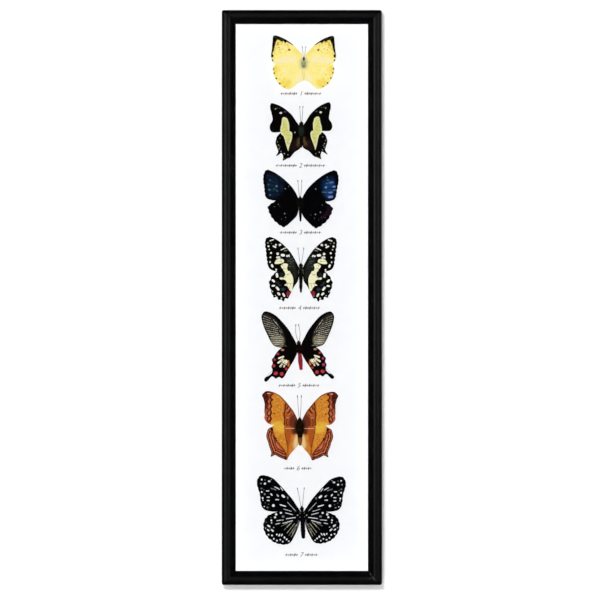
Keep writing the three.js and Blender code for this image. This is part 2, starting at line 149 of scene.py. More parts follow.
def inside(points, loop):
    """Whether each point is inside a closed loop."""
    x, z = points[:, None, 0], points[:, None, 1]
    ax, az = loop[None, :, 0], loop[None, :, 1]
    following = np.roll(loop, -1, axis=0)
    bx, bz = following[None, :, 0], following[None, :, 1]
    rise = np.where(np.abs(bz - az) < TINY, TINY, bz - az)
    crossed = ((az > z) != (bz > z)) & (x < (bx - ax) * (z - az) / rise + ax)
    return crossed.sum(1) % 2 == 1


def shape_field(points, shape, rim_depth):
    """How far inside one marking each point is. A marking is a closed loop of points, a line as
    (half width, points), a band along the wing's edge as ("rim", depth, half width, box), or a
    tuple of numbers: a spot (x, z, r), an oval (x, z, rx, rz) or a streak (x, z, x, z, r)."""
    if isinstance(shape, list):
        loop = smooth_path(shape, True, LOOP_SPACING)
        depth = distance_to_path(points, loop, True)
        return np.where(inside(points, loop), depth, -depth)
    if shape[0] == "rim":
        _, depth, half, (x0, z0, x1, z1) = shape
        band = half - np.abs(rim_depth - depth)
        x, z = points[:, 0], points[:, 1]
        box = np.minimum(np.minimum(x - x0, x1 - x), np.minimum(z - z0, z1 - z))
        return np.minimum(band, box)
    if len(shape) == 2:
        half, line = shape
        return half - distance_to_path(points, smooth_path(line, False, LOOP_SPACING))
    if len(shape) == 5:
        x0, z0, x1, z1, radius = shape
        return radius - distance_to_path(points, np.array([[x0, z0], [x1, z1]]))
    x, z, rx = shape[:3]
    rz = shape[-1]
    scaled = np.hypot((points[:, 0] - x) / rx, (points[:, 1] - z) / rz)
    return (1 - scaled) * min(rx, rz)


def marking_field(points, shapes, rim_depth):
    """The union of several markings, as a distance that is positive inside."""
    field = np.full(len(points), -FAR_INSIDE)
    for shape in shapes:
        field = np.maximum(field, shape_field(points, shape, rim_depth))
    return np.minimum(field, FAR_INSIDE)


# ---- Meshes --------------------------------------------------------------------------------


def ring_faces(rings, sides):
    """Four-sided faces between neighbouring rings of points."""
    made = []
    for low in range(0, (rings - 1) * sides, sides):
        high = low + sides
        for k in range(sides):
            after = (k + 1) % sides
            made.append((low + k, low + after, high + after, high + k))
    return made


def on_circle(turn, radius=1.0, flatness=1.0):
    """The x and y of a point on a circle, or on one pressed flat in y."""
    return radius * math.cos(turn), radius * math.sin(turn) * flatness


class Sculpt:
    """Collects the points and faces of one piece, in millimetres."""

    def __init__(self):
        self.points = []
        self.faces = []
        self.slots = []

    def add(self, points, faces, slot=0):
        """Adds a part and returns the number of its first point."""
        start = len(self.points)
        self.points.extend(tuple(map(float, p)) for p in points)
        self.faces.extend(tuple(start + i for i in face) for face in faces)
        self.slots.extend([slot] * len(faces))
        return start

    def tube(self, path, radii, sides, slot=0):
        """A round rod along a path, closed at both ends."""
        path = [Vector(p) for p in path]
        rings = []
        side = None
        for i, centre in enumerate(path):
            ahead = (path[min(i + 1, len(path) - 1)] - path[max(i - 1, 0)]).normalized()
            if side is None:
                side = ahead.orthogonal().normalized()
            side = (side - ahead * side.dot(ahead)).normalized()
            other = ahead.cross(side)
            for k in range(sides):
                across, up = on_circle(2 * math.pi * k / sides)
                rings.append(centre + radii[i] * (side * across + other * up))
        faces = ring_faces(len(path), sides)
        last = (len(path) - 1) * sides
        faces.append(tuple(reversed(range(sides))))
        faces.append(tuple(last + k for k in range(sides)))
        return self.add(rings, faces, slot)

    def ball(self, centre, radii, slot=0, rows=7, sides=12):
        """An ellipsoid."""
        cx, cy, cz = centre
        rx, ry, rz = radii
        points = [(cx, cy, cz + rz)]
        for row in range(1, rows):
            tilt = math.pi * row / rows
            for k in range(sides):
                across, along = on_circle(2 * math.pi * k / sides)
                ring = math.sin(tilt)
                points.append((cx + rx * ring * across, cy + ry * ring * along, cz + rz * math.cos(tilt)))
        points.append((cx, cy, cz - rz))
        end = len(points) - 1
        faces = []
        for k in range(sides):
            after = (k + 1) % sides
            faces.append((0, 1 + k, 1 + after))
            for row in range(rows - 2):
                a = 1 + row * sides
                faces.append((a + k, a + sides + k, a + sides + after, a + after))
            low = 1 + (rows - 2) * sides
            faces.append((end, low + after, low + k))
        return self.add(points, faces, slot)

    def finish(self, name, materials, fields=None, smooth=True):
        """Makes the object, in metres, and lets it ride on the part."""
        mesh = bpy.data.meshes.new(name)
        mesh.from_pydata([tuple(c * MM for c in p) for p in self.points], [], self.faces)
        for material in materials:
            mesh.materials.append(material)
        mesh.polygons.foreach_set("material_index", self.slots)
        mesh.polygons.foreach_set("use_smooth", [smooth] * len(self.faces))
        for key, values in (fields or {}).items():
            layer = mesh.attributes.new(key, "FLOAT", "POINT")
            layer.data.foreach_set("value", np.asarray(values, np.float32))
        mesh.update()
        made = bpy.data.objects.new(name, mesh)
        bpy.context.scene.collection.objects.link(made)
        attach(made, BODY)
        return made


# ---- Material nodes ------------------------------------------------------------------------


class Recipe:
    """One procedural material and short ways to add its nodes."""

    def __init__(self, name):
        self.material = bpy.data.materials.new(name)
        self.material.use_nodes = True
        self.tree = self.material.node_tree
        self.shader = self.tree.nodes["Principled BSDF"]
        self.place = self.add("ShaderNodeTexCoord").outputs["Object"]

    def add(self, kind, inputs=None, **settings):
        """A node with its settings, and its inputs set or linked."""
        made = self.tree.nodes.new(kind)
        for key, value in settings.items():
            setattr(made, key, value)
        for key, value in (inputs or {}).items():
            self.feed(made.inputs[key], value)
        return made

    def feed(self, socket, value):
        """Links another node's socket, or sets a plain value."""
        if isinstance(value, bpy.types.NodeSocket):
            self.tree.links.new(value, socket)
        else:
            socket.default_value = value

    def math(self, operation, *values):
        """The result of one calculation."""
        made = self.add("ShaderNodeMath", operation=operation)
        for socket, value in zip(made.inputs, values):
            self.feed(socket, value)
        return made.outputs[0]

    def grain(self, size, detail=2.0, roughness=0.5, stretch=None):
        """Noise from 0 to 1 with features of a size in millimetres."""
        place = self.place
        if stretch:
            place = self.add("ShaderNodeMapping", {"Vector": place, "Scale": stretch}).outputs[0]
        return self.add(
            "ShaderNodeTexNoise",
            {"Vector": place, "Scale": 1 / (size * MM), "Detail": detail, "Roughness": roughness},
        ).outputs["Fac"]

    def ramp(self, value, low, high, to_low=0.0, to_high=1.0):
        """A soft step from one value to another while the input goes from low to high."""
        inputs = {"Value": value, "From Min": low, "From Max": high, "To Min": to_low, "To Max": to_high}
        return self.add("ShaderNodeMapRange", inputs, interpolation_type="SMOOTHSTEP").outputs["Result"]

    def mix(self, share, first, second, blend="MIX"):
        """A blend of two colours."""
        made = self.add("ShaderNodeMix", data_type="RGBA", blend_type=blend)
        for index, value in ((0, share), (6, first), (7, second)):
            self.feed(made.inputs[index], value)
        return made.outputs[2]

    def cells(self, scale):
        """A cell pattern with a number of cells a metre."""
        return self.add("ShaderNodeTexVoronoi", {"Vector": self.place, "Scale": scale}).outputs

    def field(self, name):
        """A value stored on the mesh's points."""
        return self.add("ShaderNodeAttribute", attribute_name=name).outputs["Fac"]

    def bump(self, height, depth, normal=None):
        """A bump whose depth is in millimetres."""
        inputs = {"Height": height, "Distance": depth * MM, "Strength": 1.0}
        if normal:
            inputs["Normal"] = normal
        return self.add("ShaderNodeBump", inputs).outputs["Normal"]

    def set(self, **values):
        """Sets or links the shader's sockets, named with underscores for spaces."""
        for key, value in values.items():
            self.feed(self.shader.inputs[key.replace("_", " ")], value)
        return self.material


# ---- Settings ------------------------------------------------------------------------------


def length_setting(name, description, default, least, most):
    """A length setting, given in millimetres."""
    return FloatProperty(
        name=name,
        description=description,
        default=default * MM,
        min=least * MM,
        max=most * MM,
        unit="LENGTH",
    )


def power_setting(name, description, default, most=500):
    """The power of a lamp, in watts."""
    return FloatProperty(
        name=name, description=description, default=default, min=0, max=most, unit="POWER"
    )


def colour_setting(name, description, code):
    """A colour setting, given as a screen code."""
    return FloatVectorProperty(
        name=name,
        description=description,
        subtype="COLOR",
        size=4,
        min=0,
        max=1,
        default=shade(code),
    )


class FrameSettings(bpy.types.PropertyGroup):
    lacquer: colour_setting("Lacquer", "Colour of the moulding's satin lacquer", 0x020202)
    corner_radius: length_setting(
        "Corner radius", "Rounding of the frame's outer corners", 1.9, 0.2, 4
    )
    mitre_gap: length_setting(
        "Mitre gap", "Width of the line where two rails meet", 0.12, 0, 0.5
    )


class CardSettings(bpy.types.PropertyGroup):
    card: colour_setting("Card", "Colour of the mount card", 0xF6F8FB)
    ink: colour_setting("Ink", "Colour of the printed numerals", 0x6A5F59)
    numeral_height: length_setting(
        "Numeral height", "Height of each printed numeral", 4.9, 2, 8
    )


class WingSettings(bpy.types.PropertyGroup):
    spacing: length_setting(
        "Mesh spacing", "Distance between the points of a wing's mesh", 0.6, 0.3, 2
    )
    ripple: length_setting(
        "Ripple", "How far a dried wing waves out of its plane", 0.22, 0, 0.3
    )
    hairs: IntProperty(
        name="Hairs", description="Hairs on each body", default=520, min=0, max=1500
    )


class StageSettings(bpy.types.PropertyGroup):
    camera_distance: length_setting(
        "Camera distance", "From the frame to the camera", 5000, 1000, 10000
    )
    field_width: length_setting(
        "Field width", "Width of the view at the frame", 598.5, 200, 2000
    )
    key_power: power_setting("Key lamp", "Power of the large lamp at the upper left", 9.0)
    copy_power: power_setting(
        "Copy light", "Power of the flat light from the camera's side", 350.0, 2000
    )
    sheen_power: power_setting(
        "Rail sheen", "Power of the lamp that only the rails catch", 12.0
    )
    rim_power: power_setting(
        "Rim lamps", "Power of the lamps that graze the sides from behind", 8.0
    )
    daylight: FloatProperty(
        name="Daylight",
        description="Strength of the even light from all round",
        default=0.35,
        min=0,
        max=3,
    )


# ---- Frame ---------------------------------------------------------------------------------

WORN_SPOTS = [  # on the rails' faces, in millimetres from the frame's centre
    (71.5, 147.5, 0.6),
    (-67.2, -140.5, 0.6),
    (68.2, -275.2, 68.9, -276.8, 0.5),
    (70.2, -278.6, 72.4, -281.2, 0.45),
    (72.8, -281.4, 74.0, -283.4, 0.25),
    (67.6, -280.4, 0.6),
]
SHOULDER_STEPS = 10
CREST_STEPS = 14
LIP_ROUNDING = 0.3
FINE_REACH = 16.0  # length near each mitre that is meshed finely enough for scratches
FINE_STEPS = 36
PLAIN_STEPS = 24
CORNER_STEPS = 4
LEAST_BEND = 0.02
SHARP_ANGLE = math.radians(38)


def lacquer_material(colour):
    """Satin black lacquer with fine orange peel, a little dust and a few worn spots."""
    made = Recipe("lacquer")
    peel = made.grain(1.6, 3)
    dust = made.ramp(made.grain(0.5, 4, 0.7), 0.66, 0.74)
    tint = made.mix(made.ramp(made.grain(14, 2), 0.3, 0.7), colour, shade(0x050506))
    tint = made.mix(made.math("MULTIPLY", dust, 0.12), tint, shade(0x4D4E52))
    jag = made.math("MULTIPLY", made.math("SUBTRACT", made.grain(0.6, 3), 0.5), 1.4)
    worn = made.ramp(made.math("ADD", made.field("worn"), jag), -0.1, 0.25)
    tint = made.mix(made.math("MULTIPLY", worn, 0.8), tint, shade(0x4C4A46))
    rough = made.ramp(peel, 0.2, 0.8, 0.3, 0.42)
    rough = made.math("ADD", rough, made.math("MULTIPLY", worn, 0.3))
    normal = made.bump(peel, 0.03, made.bump(made.grain(0.25, 2, stretch=(1, 1, 0.2)), 0.008))
    return made.set(Base_Color=tint, Roughness=rough, Normal=normal)


def rail_profile():
    """The moulding's section as (inward from the outer edge, y), from the back outer edge."""

    def bezier(points, steps):
        made = []
        for k in range(steps + 1):
            row = [np.array(p, float) for p in points]
            while len(row) > 1:
                row = [a + (b - a) * k / steps for a, b in zip(row, row[1:])]
            made.append(tuple(row[0]))
        return made

    front = FRAME_FRONT
    heel = [(0.6, 0), (0.15, -0.15), (0, -0.6)]
    crown = [(0, front + CROWN_RADIUS), (0, front), (CROWN_RADIUS, front)]
    fall = [(6, front), (10, front), (10, front + 2.6), (RAIL_WIDTH, front + 4.2)]
    lip = [
        (RAIL_WIDTH, LIP_BACK - LIP_ROUNDING),
        (RAIL_WIDTH - LIP_ROUNDING, LIP_BACK),
        (RABBET_EDGE, LIP_BACK),
        (RABBET_EDGE, 0),
    ]
    return heel + bezier(crown, SHOULDER_STEPS) + bezier(fall, CREST_STEPS) + lip


def rail_stations(length, inward, radius, gap):
    """Places along a rail for one line of its section, rounded into the frame's corner."""
    half = length / 2 - gap / 2
    corner = max(radius, inward)
    run = half - corner
    dense = [run - FINE_REACH * (1 - k / FINE_STEPS) for k in range(FINE_STEPS + 1)]
    plain = [(-1 + 2 * k / PLAIN_STEPS) * (run - FINE_REACH) for k in range(1, PLAIN_STEPS)]
    made = [(x, inward) for x in [-x for x in reversed(dense)] + plain + dense]
    bend = max(radius - inward, LEAST_BEND)
    arc = []
    for k in range(1, CORNER_STEPS + 1):
        turn = math.pi / 4 * k / CORNER_STEPS
        reach = bend * math.sin(turn)
        rise = bend * (1 - math.cos(turn))
        arc.append((half - corner + reach, inward + rise))
    ends = [(-x, u) for x, u in reversed(arc)]
    return ends + made + arc


def rail_piece(name, length, turn, middle, settings, material):
    """One mitred rail, made along X and turned so that its outer edge faces out."""
    radius = settings.corner_radius / MM
    gap = settings.mitre_gap / MM
    section = rail_profile()
    rows = [(rail_stations(length, u, radius, gap), y) for u, y in section]
    count = len(rows[0][0])
    sculpt = Sculpt()
    points = []
    cos, sin = math.cos(turn), math.sin(turn)
    for stations, y in rows:
        for x, u in stations:
            z = -u
            points.append((middle[0] + x * cos + z * sin, y, middle[1] - x * sin + z * cos))
    starts = range(0, len(rows) * count, count)
    faces = []
    for start in starts:
        after = (start + count) % (len(rows) * count)
        faces += [(start + k, start + k + 1, after + k + 1, after + k) for k in range(count - 1)]
    faces.append(tuple(starts))
    faces.append(tuple(start + count - 1 for start in reversed(starts)))
    sculpt.add(points, faces)
    flat = np.array([(p[0], p[2] - FRAME_CENTRE) for p in points])
    field = marking_field(flat, WORN_SPOTS, np.zeros(len(flat)))
    front = np.array([p[1] for p in points]) < LIP_BACK
    made = sculpt.finish(name, [material], {"worn": np.where(front, field, -FAR_INSIDE)})
    made.data.set_sharp_from_angle(angle=SHARP_ANGLE)
    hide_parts(name)
    return made


class SPECIMEN_OT_frame(bpy.types.Operator):
    """Make the four mitred rails of the frame."""

    bl_idname = "specimen.frame"
    bl_label = "Frame"

    def execute(self, context):
        settings = context.scene.specimen_frame
        material = lacquer_material(settings.lacquer)
        width, height = 2 * FRAME_HALF_WIDTH, FRAME_TOP - FRAME_BOTTOM
        for name, length, turn, middle in (
            ("rail_top", width, 0, (0, FRAME_TOP)),
            ("rail_bottom", width, math.pi, (0, FRAME_BOTTOM)),
            ("rail_left", height, -math.pi / 2, (-FRAME_HALF_WIDTH, FRAME_CENTRE)),
            ("rail_right", height, math.pi / 2, (FRAME_HALF_WIDTH, FRAME_CENTRE)),
        ):
            made = rail_piece(name, length, turn, middle, settings, material)
            made.name = "moulding_" + name.split("_")[1]
        return {"FINISHED"}


# ---- Glazing, card and backing -------------------------------------------------------------


def glass_material():
    """Clear picture glass with a faint smear."""
    made = Recipe("picture_glass")
    smear = made.ramp(made.grain(30, 3, 0.6), 0.45, 0.75, 0.0, 0.035)
    return made.set(
        Base_Color=shade(0xFFFFFF), Roughness=smear, IOR=1.45, Transmission_Weight=1.0
    )


def card_material(colour):
    """Smooth mount card: paper fibre, a faint mottle and a soft tooth."""
    made = Recipe("mount_card")
    fibre = made.grain(0.35, 4, 0.65)
    mottle = made.ramp(made.grain(9, 3), 0.3, 0.7)
    tint = made.mix(mottle, colour, shade(0xF9FAFC))
    tint = made.mix(made.ramp(fibre, 0.62, 0.72, 0.0, 0.25), tint, shade(0xE6EAEC))
    return made.set(
        Base_Color=tint,
        Roughness=made.ramp(fibre, 0.3, 0.7, 0.78, 0.92),
        Normal=made.bump(fibre, 0.02),
        Specular_IOR_Level=0.3,
    )


def foam_material():
    """White foam strip with open pores, painted a little darker in each pore's hollow as shade."""
    made = Recipe("foam_strip")
    cell = made.cells(2200.0)["Distance"]
    # painted shade: darker towards each pore's middle, where the bump dips
    tint = made.mix(made.ramp(cell, 0.1, 0.6), shade(0xE4E8EA), shade(0xF5F8FA))
    return made.set(
        Base_Color=tint,
        Roughness=made.ramp(cell, 0.0, 0.7, 0.95, 0.8),
        Normal=made.bump(cell, 0.06),
    )


def hardboard_material():
    """Brown pressed fibre with long pale hairs and darker flecks."""
    made = Recipe("hardboard")
    fibre = made.grain(1.1, 5, 0.7, stretch=(1, 1, 0.35))
    cross = made.grain(0.9, 5, 0.7, stretch=(0.3, 1, 1))
    tint = made.mix(made.ramp(fibre, 0.35, 0.65), shade(0x6B4D31), shade(0x957350))
    tint = made.mix(made.ramp(cross, 0.56, 0.7, 0.0, 0.6), tint, shade(0xB59A76))
    tint = made.mix(made.ramp(made.grain(22, 2), 0.4, 0.7, 0.0, 0.35), tint, shade(0x5A3F28))
    return made.set(
        Base_Color=tint,
        Roughness=made.ramp(fibre, 0.3, 0.7, 0.72, 0.9),
        Normal=made.bump(cross, 0.08, made.bump(fibre, 0.1)),
    )


def steel_material():
    """Dull zinc plate with a faint spangle and fine scratches."""
    made = Recipe("zinc_plate")
    spangle = made.cells(600.0)["Color"]
    share = made.add("ShaderNodeSeparateColor", {"Color": spangle}).outputs[0]
    scratch = made.grain(0.5, 4, 0.7, stretch=(0.1, 1, 1))
    tint = made.mix(share, shade(0xA9A69A), shade(0xC6C3B6))
    tint = made.mix(made.ramp(scratch, 0.6, 0.75, 0.0, 0.5), tint, shade(0x7F7C72))
    return made.set(
        Base_Color=tint,
        Metallic=0.7,
        Roughness=made.ramp(scratch, 0.3, 0.7, 0.38, 0.6),
        Normal=made.bump(scratch, 0.01),
    )


STEEL_NODES = ("point_", "nail_", "hanger")


def paint(material, *names):
    """Gives solid-model nodes a material."""
    for name in names:
        mesh = frame["nodes"][name].data
        mesh.materials.clear()
        mesh.materials.append(material)


class SPECIMEN_OT_glazing(bpy.types.Operator):
    """Finish the pane of glass and its spacer strips."""

    bl_idname = "specimen.glazing"
    bl_label = "Glazing"

    def execute(self, context):
        paint(glass_material(), "glass")
        frame["nodes"]["glass"].visible_shadow = False
        paint(foam_material(), *(f"spacer_{side}" for side in ("left", "right", "top", "bottom")))
        return {"FINISHED"}


class SPECIMEN_OT_backing(bpy.types.Operator):
    """Finish the back panel, its points and the sawtooth hanger."""

    bl_idname = "specimen.backing"
    bl_label = "Backing and hanger"

    def execute(self, context):
        paint(hardboard_material(), "back_panel")
        names = [n for n in frame["nodes"] if n.startswith(STEEL_NODES)]
        paint(steel_material(), *names)
        return {"FINISHED"}


CAPTIONS = [  # numeral, x and height of its middle from the frame's centre, width of the line
    ("1", -1.0, 204.0, 42),
    ("2", -1.5, 132.0, 52),
    ("3", -1.5, 65.0, 44),
    ("4", -2.5, -10.5, 43),
    ("5", -3.0, -88.0, 43),
    ("6", -4.0, -171.0, 28),
    ("7", -0.5, -257.5, 35),
]
GLYPH_SCALE = 1.35  # of the letter size over the numeral's height
GLYPH_SHEAR = 0.25
INK_LIFT = 0.03  # of the print off the card
INK_DEPTH = 0.01
CHAIN_GAP = 0.7  # from the numeral's middle to each chain, over the numeral's height
CHAIN_RADIUS = 0.2
CHAIN_STEPS = 12
LOZENGE_PITCH = 2.1
LOZENGE_HEIGHTS = (1.4, 2.0)  # taken in turn along a chain
LOZENGE_TAPER = 0.25


def ink_material(colour):
    """Grey-brown printing ink with a broken edge."""
    made = Recipe("printed_ink")
    tint = made.mix(made.ramp(made.grain(0.3, 3), 0.35, 0.65), colour, shade(0x857A73))
    return made.set(Base_Color=tint, Roughness=0.7, Normal=made.bump(made.grain(0.2), 0.004))


def digit_mesh(digit, size):
    """The points and faces of a slanted digit, in millimetres round its middle."""
    curve = bpy.data.curves.new("numeral_" + digit, "FONT")
    curve.body = digit
    curve.size = size * GLYPH_SCALE
    curve.shear = GLYPH_SHEAR
    curve.align_x = "CENTER"
    curve.align_y = "CENTER"
    curve.extrude = INK_DEPTH
    curve.resolution_u = 6
    source = bpy.data.objects.new("numeral_source", curve)
    bpy.context.scene.collection.objects.link(source)
    bpy.context.view_layer.update()
    ready = source.evaluated_get(bpy.context.evaluated_depsgraph_get())
    mesh = bpy.data.meshes.new_from_object(ready)
    points = [tuple(v.co) for v in mesh.vertices]
    faces = [tuple(p.vertices) for p in mesh.polygons]
    bpy.data.objects.remove(source)
    bpy.data.meshes.remove(mesh)
    bpy.data.curves.remove(curve)
    return points, faces


def lozenge(sculpt, across, y, z, tall):
    """One slanted lozenge of a chain, a thin slab."""
    broad = 0.55 * tall
    slant = 0.25 * tall
    outline = [(-broad, 0), (-slant, -tall), (broad, 0), (slant, tall)]
    half = INK_DEPTH / 2
    points = [(across + x, depth, z + rise) for depth in (y - half, y + half) for x, rise in outline]
    sides = [(i, i + 4, (i + 1) % 4 + 4, (i + 1) % 4) for i in range(4)]
    sculpt.add(points, [(0, 1, 2, 3), (7, 6, 5, 4), *sides])


def caption_piece(digit, x, height, width, settings, material):
    """A printed numeral between two chains of lozenges that taper outwards."""
    size = settings.numeral_height / MM
    y = CARD_FRONT - INK_LIFT
    z = FRAME_CENTRE + height
    sculpt = Sculpt()
    points, faces = digit_mesh(digit, size)
    sculpt.add([(x + a, y - c, z + b) for a, b, c in points], faces)
    gap = CHAIN_GAP * size
    reach = width / 2 - gap
    count = int(reach / LOZENGE_PITCH)
    stations = CHAIN_STEPS + 1
    radii = [CHAIN_RADIUS * (1 - k / stations) ** 0.5 for k in range(stations)]
    for side in (-1, 1):
        path = [(x + side * (gap + reach * k / CHAIN_STEPS), y, z) for k in range(stations)]
        sculpt.tube(path, radii, 6)
        for k in range(count):
            tall = LOZENGE_HEIGHTS[k % 2] * (1 - LOZENGE_TAPER * k / count)
            lozenge(sculpt, x + side * (gap + (k + 0.5) * LOZENGE_PITCH), y, z, tall)
    points = np.array(sculpt.points)
    points[:, 1] = np.clip(points[:, 1], y - INK_DEPTH, y + INK_DEPTH)
    sculpt.points = [tuple(p) for p in points]
    made = sculpt.finish("numeral_" + digit, [material], smooth=False)


class SPECIMEN_OT_card(bpy.types.Operator):
    """Finish the mount card and print its seven numerals."""

    bl_idname = "specimen.card"
    bl_label = "Card and numerals"

    def execute(self, context):
        settings = context.scene.specimen_card
        paint(card_material(settings.card), "card")
        ink = ink_material(settings.ink)
        for digit, x, height, width in CAPTIONS:
            caption_piece(digit, x, height, width, settings, ink)
        return {"FINISHED"}


# ---- Butterflies: shared makers ------------------------------------------------------------

VEIN_ENDS = {  # shares of the way round the wing's outline
    "forewing": (0.28, 0.36, 0.42, 0.48, 0.53, 0.59, 0.65, 0.71, 0.8),
    "hindwing": (0.24, 0.33, 0.41, 0.48, 0.55, 0.62, 0.7, 0.79),
}
OUTER_EDGE = {"forewing": (0.38, 0.68), "hindwing": (0.22, 0.72)}
VEIN_SPACING = 1.5
VEIN_SIDES = 5
VEIN_RADII = (0.17, 0.07)  # at its root and at the wing's edge
VEIN_PROUD = 0.02
CREASE_HEIGHT = 0.05
CREASE_WIDTH = 0.5
WAVES = ((9, 0, 1.4), (3, 5, 0.25))  # length, offset of the noise and share of the ripple
FRINGE_RATE = 1.7
FRINGE_DEPTH = 0.12
ROOT_REACH = 4.2  # outline points nearer to the body than this are tucked under it
TRUNK_ROWS, TRUNK_SIDES = 96, 22
SEGMENT_LENGTH = 1.9
THORAX_SHARE, HEAD_SHARE = 0.68, 0.12  # of the hairs


def mark_fields(specimen, parts, flat, rim_depth):
    """The distance field of each marking group that the specimen's layers draw."""
    fields = {}
    for group in dict.fromkeys(layer[0] for layer in specimen["layers"] + specimen["body_layers"]):
        shapes = []
        for part in parts:
            shapes += specimen["marks"].get(part, {}).get(group, [])
        fields[group] = marking_field(flat, shapes, rim_depth)
    return fields


def vein_paths(loop, kind):
    """The cell and the branches that run from it to the wing's edge."""
    ends = [loop[int(share * len(loop)) % len(loop)] for share in VEIN_ENDS[kind]]
    root = loop[0] * 0.5 + loop[-1] * 0.5
    upper = root + (ends[2] - root) * 0.6
    lower = root + (ends[-2] - root) * 0.5
    bow = (upper + lower) / 2 + (ends[4] - root) * 0.06
    paths = [
        [root, (root + upper) / 2 + (upper - lower) * 0.1, upper],
        [root, (root + lower) / 2 - (upper - lower) * 0.08, lower],
        [upper, bow, lower],
    ]
    count = len(ends)
    for i, end in enumerate(ends):
        share = i / (count - 1)
        if share < 0.3:
            start = root + (upper - root) * (0.55 + 1.5 * share)
        else:
            t = (share - 0.3) / 0.7
            start = (1 - t) ** 2 * upper + 2 * t * (1 - t) * bow + t**2 * lower
        middle = (start + end) / 2 + (end - start)[::-1] * np.array([-0.04, 0.04])
        paths.append([start, middle, start + (end - start) * 0.985])
    return [smooth_path(path, False, VEIN_SPACING) for path in paths]


def posed(points, pose):
    """Turns and sizes outline points for one side of a butterfly."""
    degrees, reach = pose
    cos, sin = math.cos(math.radians(degrees)), math.sin(math.radians(degrees))
    x, z = points[:, 0], points[:, 1]
    return np.stack([x * cos - z * sin, x * sin + z * cos], 1) * reach


class WingSurface:
    """Places flat wing points in the frame: raised to the tip and gently rippled."""

    def __init__(self, specimen, kind, side, pose, ripple):
        self.specimen = specimen
        self.side = side
        self.pose = pose
        self.ripple = ripple
        self.level = HINDWING_LEVEL - (WING_STAGGER if kind == "forewing" else 0)

    def at(self, points, lift):
        """World points, in millimetres, lifted off the wing's middle plane."""
        flat = posed(points, self.pose)
        made = []
        seed = 7.3 * self.side + self.specimen["x"]
        for (x, z), rise in zip(flat, lift):
            wave = 0.0
            for length, offset, share in WAVES:
                place = Vector((x / length, z / length, seed + offset))
                wave += noise.noise(place) * self.ripple * share
            across = self.specimen["x"] + self.side * x * math.cos(DIHEDRAL)
            y = self.level - x * math.sin(DIHEDRAL) + wave - rise
            made.append((across, CARD_FRONT + y, FRAME_CENTRE + self.specimen["z"] + z))
        return made


def wing_grid(loop, spacing):
    """Points inside an outline on a triangular grid, with the outline's own points first."""
    low, high = loop.min(0), loop.max(0)
    rows = []
    row_height = spacing * math.sqrt(3) / 2
    for j in range(int((high[1] - low[1]) / row_height) + 1):
        shift = spacing / 2 if j % 2 else 0
        xs = np.arange(low[0] + shift, high[0], spacing)
        rows.append(np.stack([xs, np.full(len(xs), low[1] + j * row_height)], 1))
    grid = np.concatenate(rows)
    keep = inside(grid, loop) & (distance_to_path(grid, loop, True) > 0.6 * spacing)
    points = [Vector(p) for p in np.concatenate([loop, grid[keep]])]
    ring = [list(range(len(loop)))]
    made = geometry.delaunay_2d_cdt(points, [], ring, 1, 1e-5)
    return np.array([tuple(p) for p in made[0]]), made[2]


def scallops(count, kind, specimen):
    """How far each outline point is pushed out by the scalloped outer edge."""
    depth, teeth = specimen.get("scallops", {}).get(kind, (0, 1))
    first, last = OUTER_EDGE[kind]
    share = (np.arange(count) / count - first) / (last - first)
    window = np.clip(np.minimum(share, 1 - share) * 8, 0, 1)
    return depth * window * (np.abs(np.sin(math.pi * teeth * share)) - 0.6)


def wing_outline(specimen, kind, side, spacing):
    """The wing's edge, with a fine fringe and its scallops."""
    tuck = specimen["tuck"]
    controls = [(x - tuck, z) if x < ROOT_REACH else (x, z) for x, z in specimen[kind]]
    loop = smooth_path(controls, True, spacing * 0.75)
    fringe = np.array([noise.noise(Vector((*(p * FRINGE_RATE), side))) for p in loop])
    fringe = fringe * FRINGE_DEPTH + scallops(len(loop), kind, specimen)
    outward = loop - loop.mean(0)
    return loop + outward / np.linalg.norm(outward, axis=1)[:, None] * fringe[:, None]


def membrane_faces(flat, triangles, side, front, back):
    """The triangles of both faces of a wing and the strip round its rim."""
    faces = []
    rim = {}
    for face in triangles:
        a, b, c = face
        area = np.cross(flat[b] - flat[a], flat[c] - flat[a])
        if (area > 0) != (side > 0):
            face = (a, c, b)
        faces.append(tuple(front + i for i in face))
        faces.append(tuple(back + i for i in reversed(face)))
        for i in range(3):
            edge = (face[i], face[(i + 1) % 3])
            if edge[::-1] in rim:
                del rim[edge[::-1]]
            else:
                rim[edge] = True
    return faces + [(front + b, front + a, back + a, back + b) for a, b in rim]


def wing_fields(specimen, kind, side_name, flat, loop, vein_gap):
    """The distances that the wing's material reads: veins, rim, body and each marking group."""
    depth = distance_to_path(flat, loop, True)
    (neck, _), (waist, radius) = specimen["body"][3:5]
    thorax = np.array([(0.0, neck), (0.0, waist)])
    fields = {"vein": vein_gap, "rim": depth, "root": distance_to_path(flat, thorax) - radius}
    return fields | mark_fields(specimen, (kind, f"{kind}_{side_name}"), flat, depth)


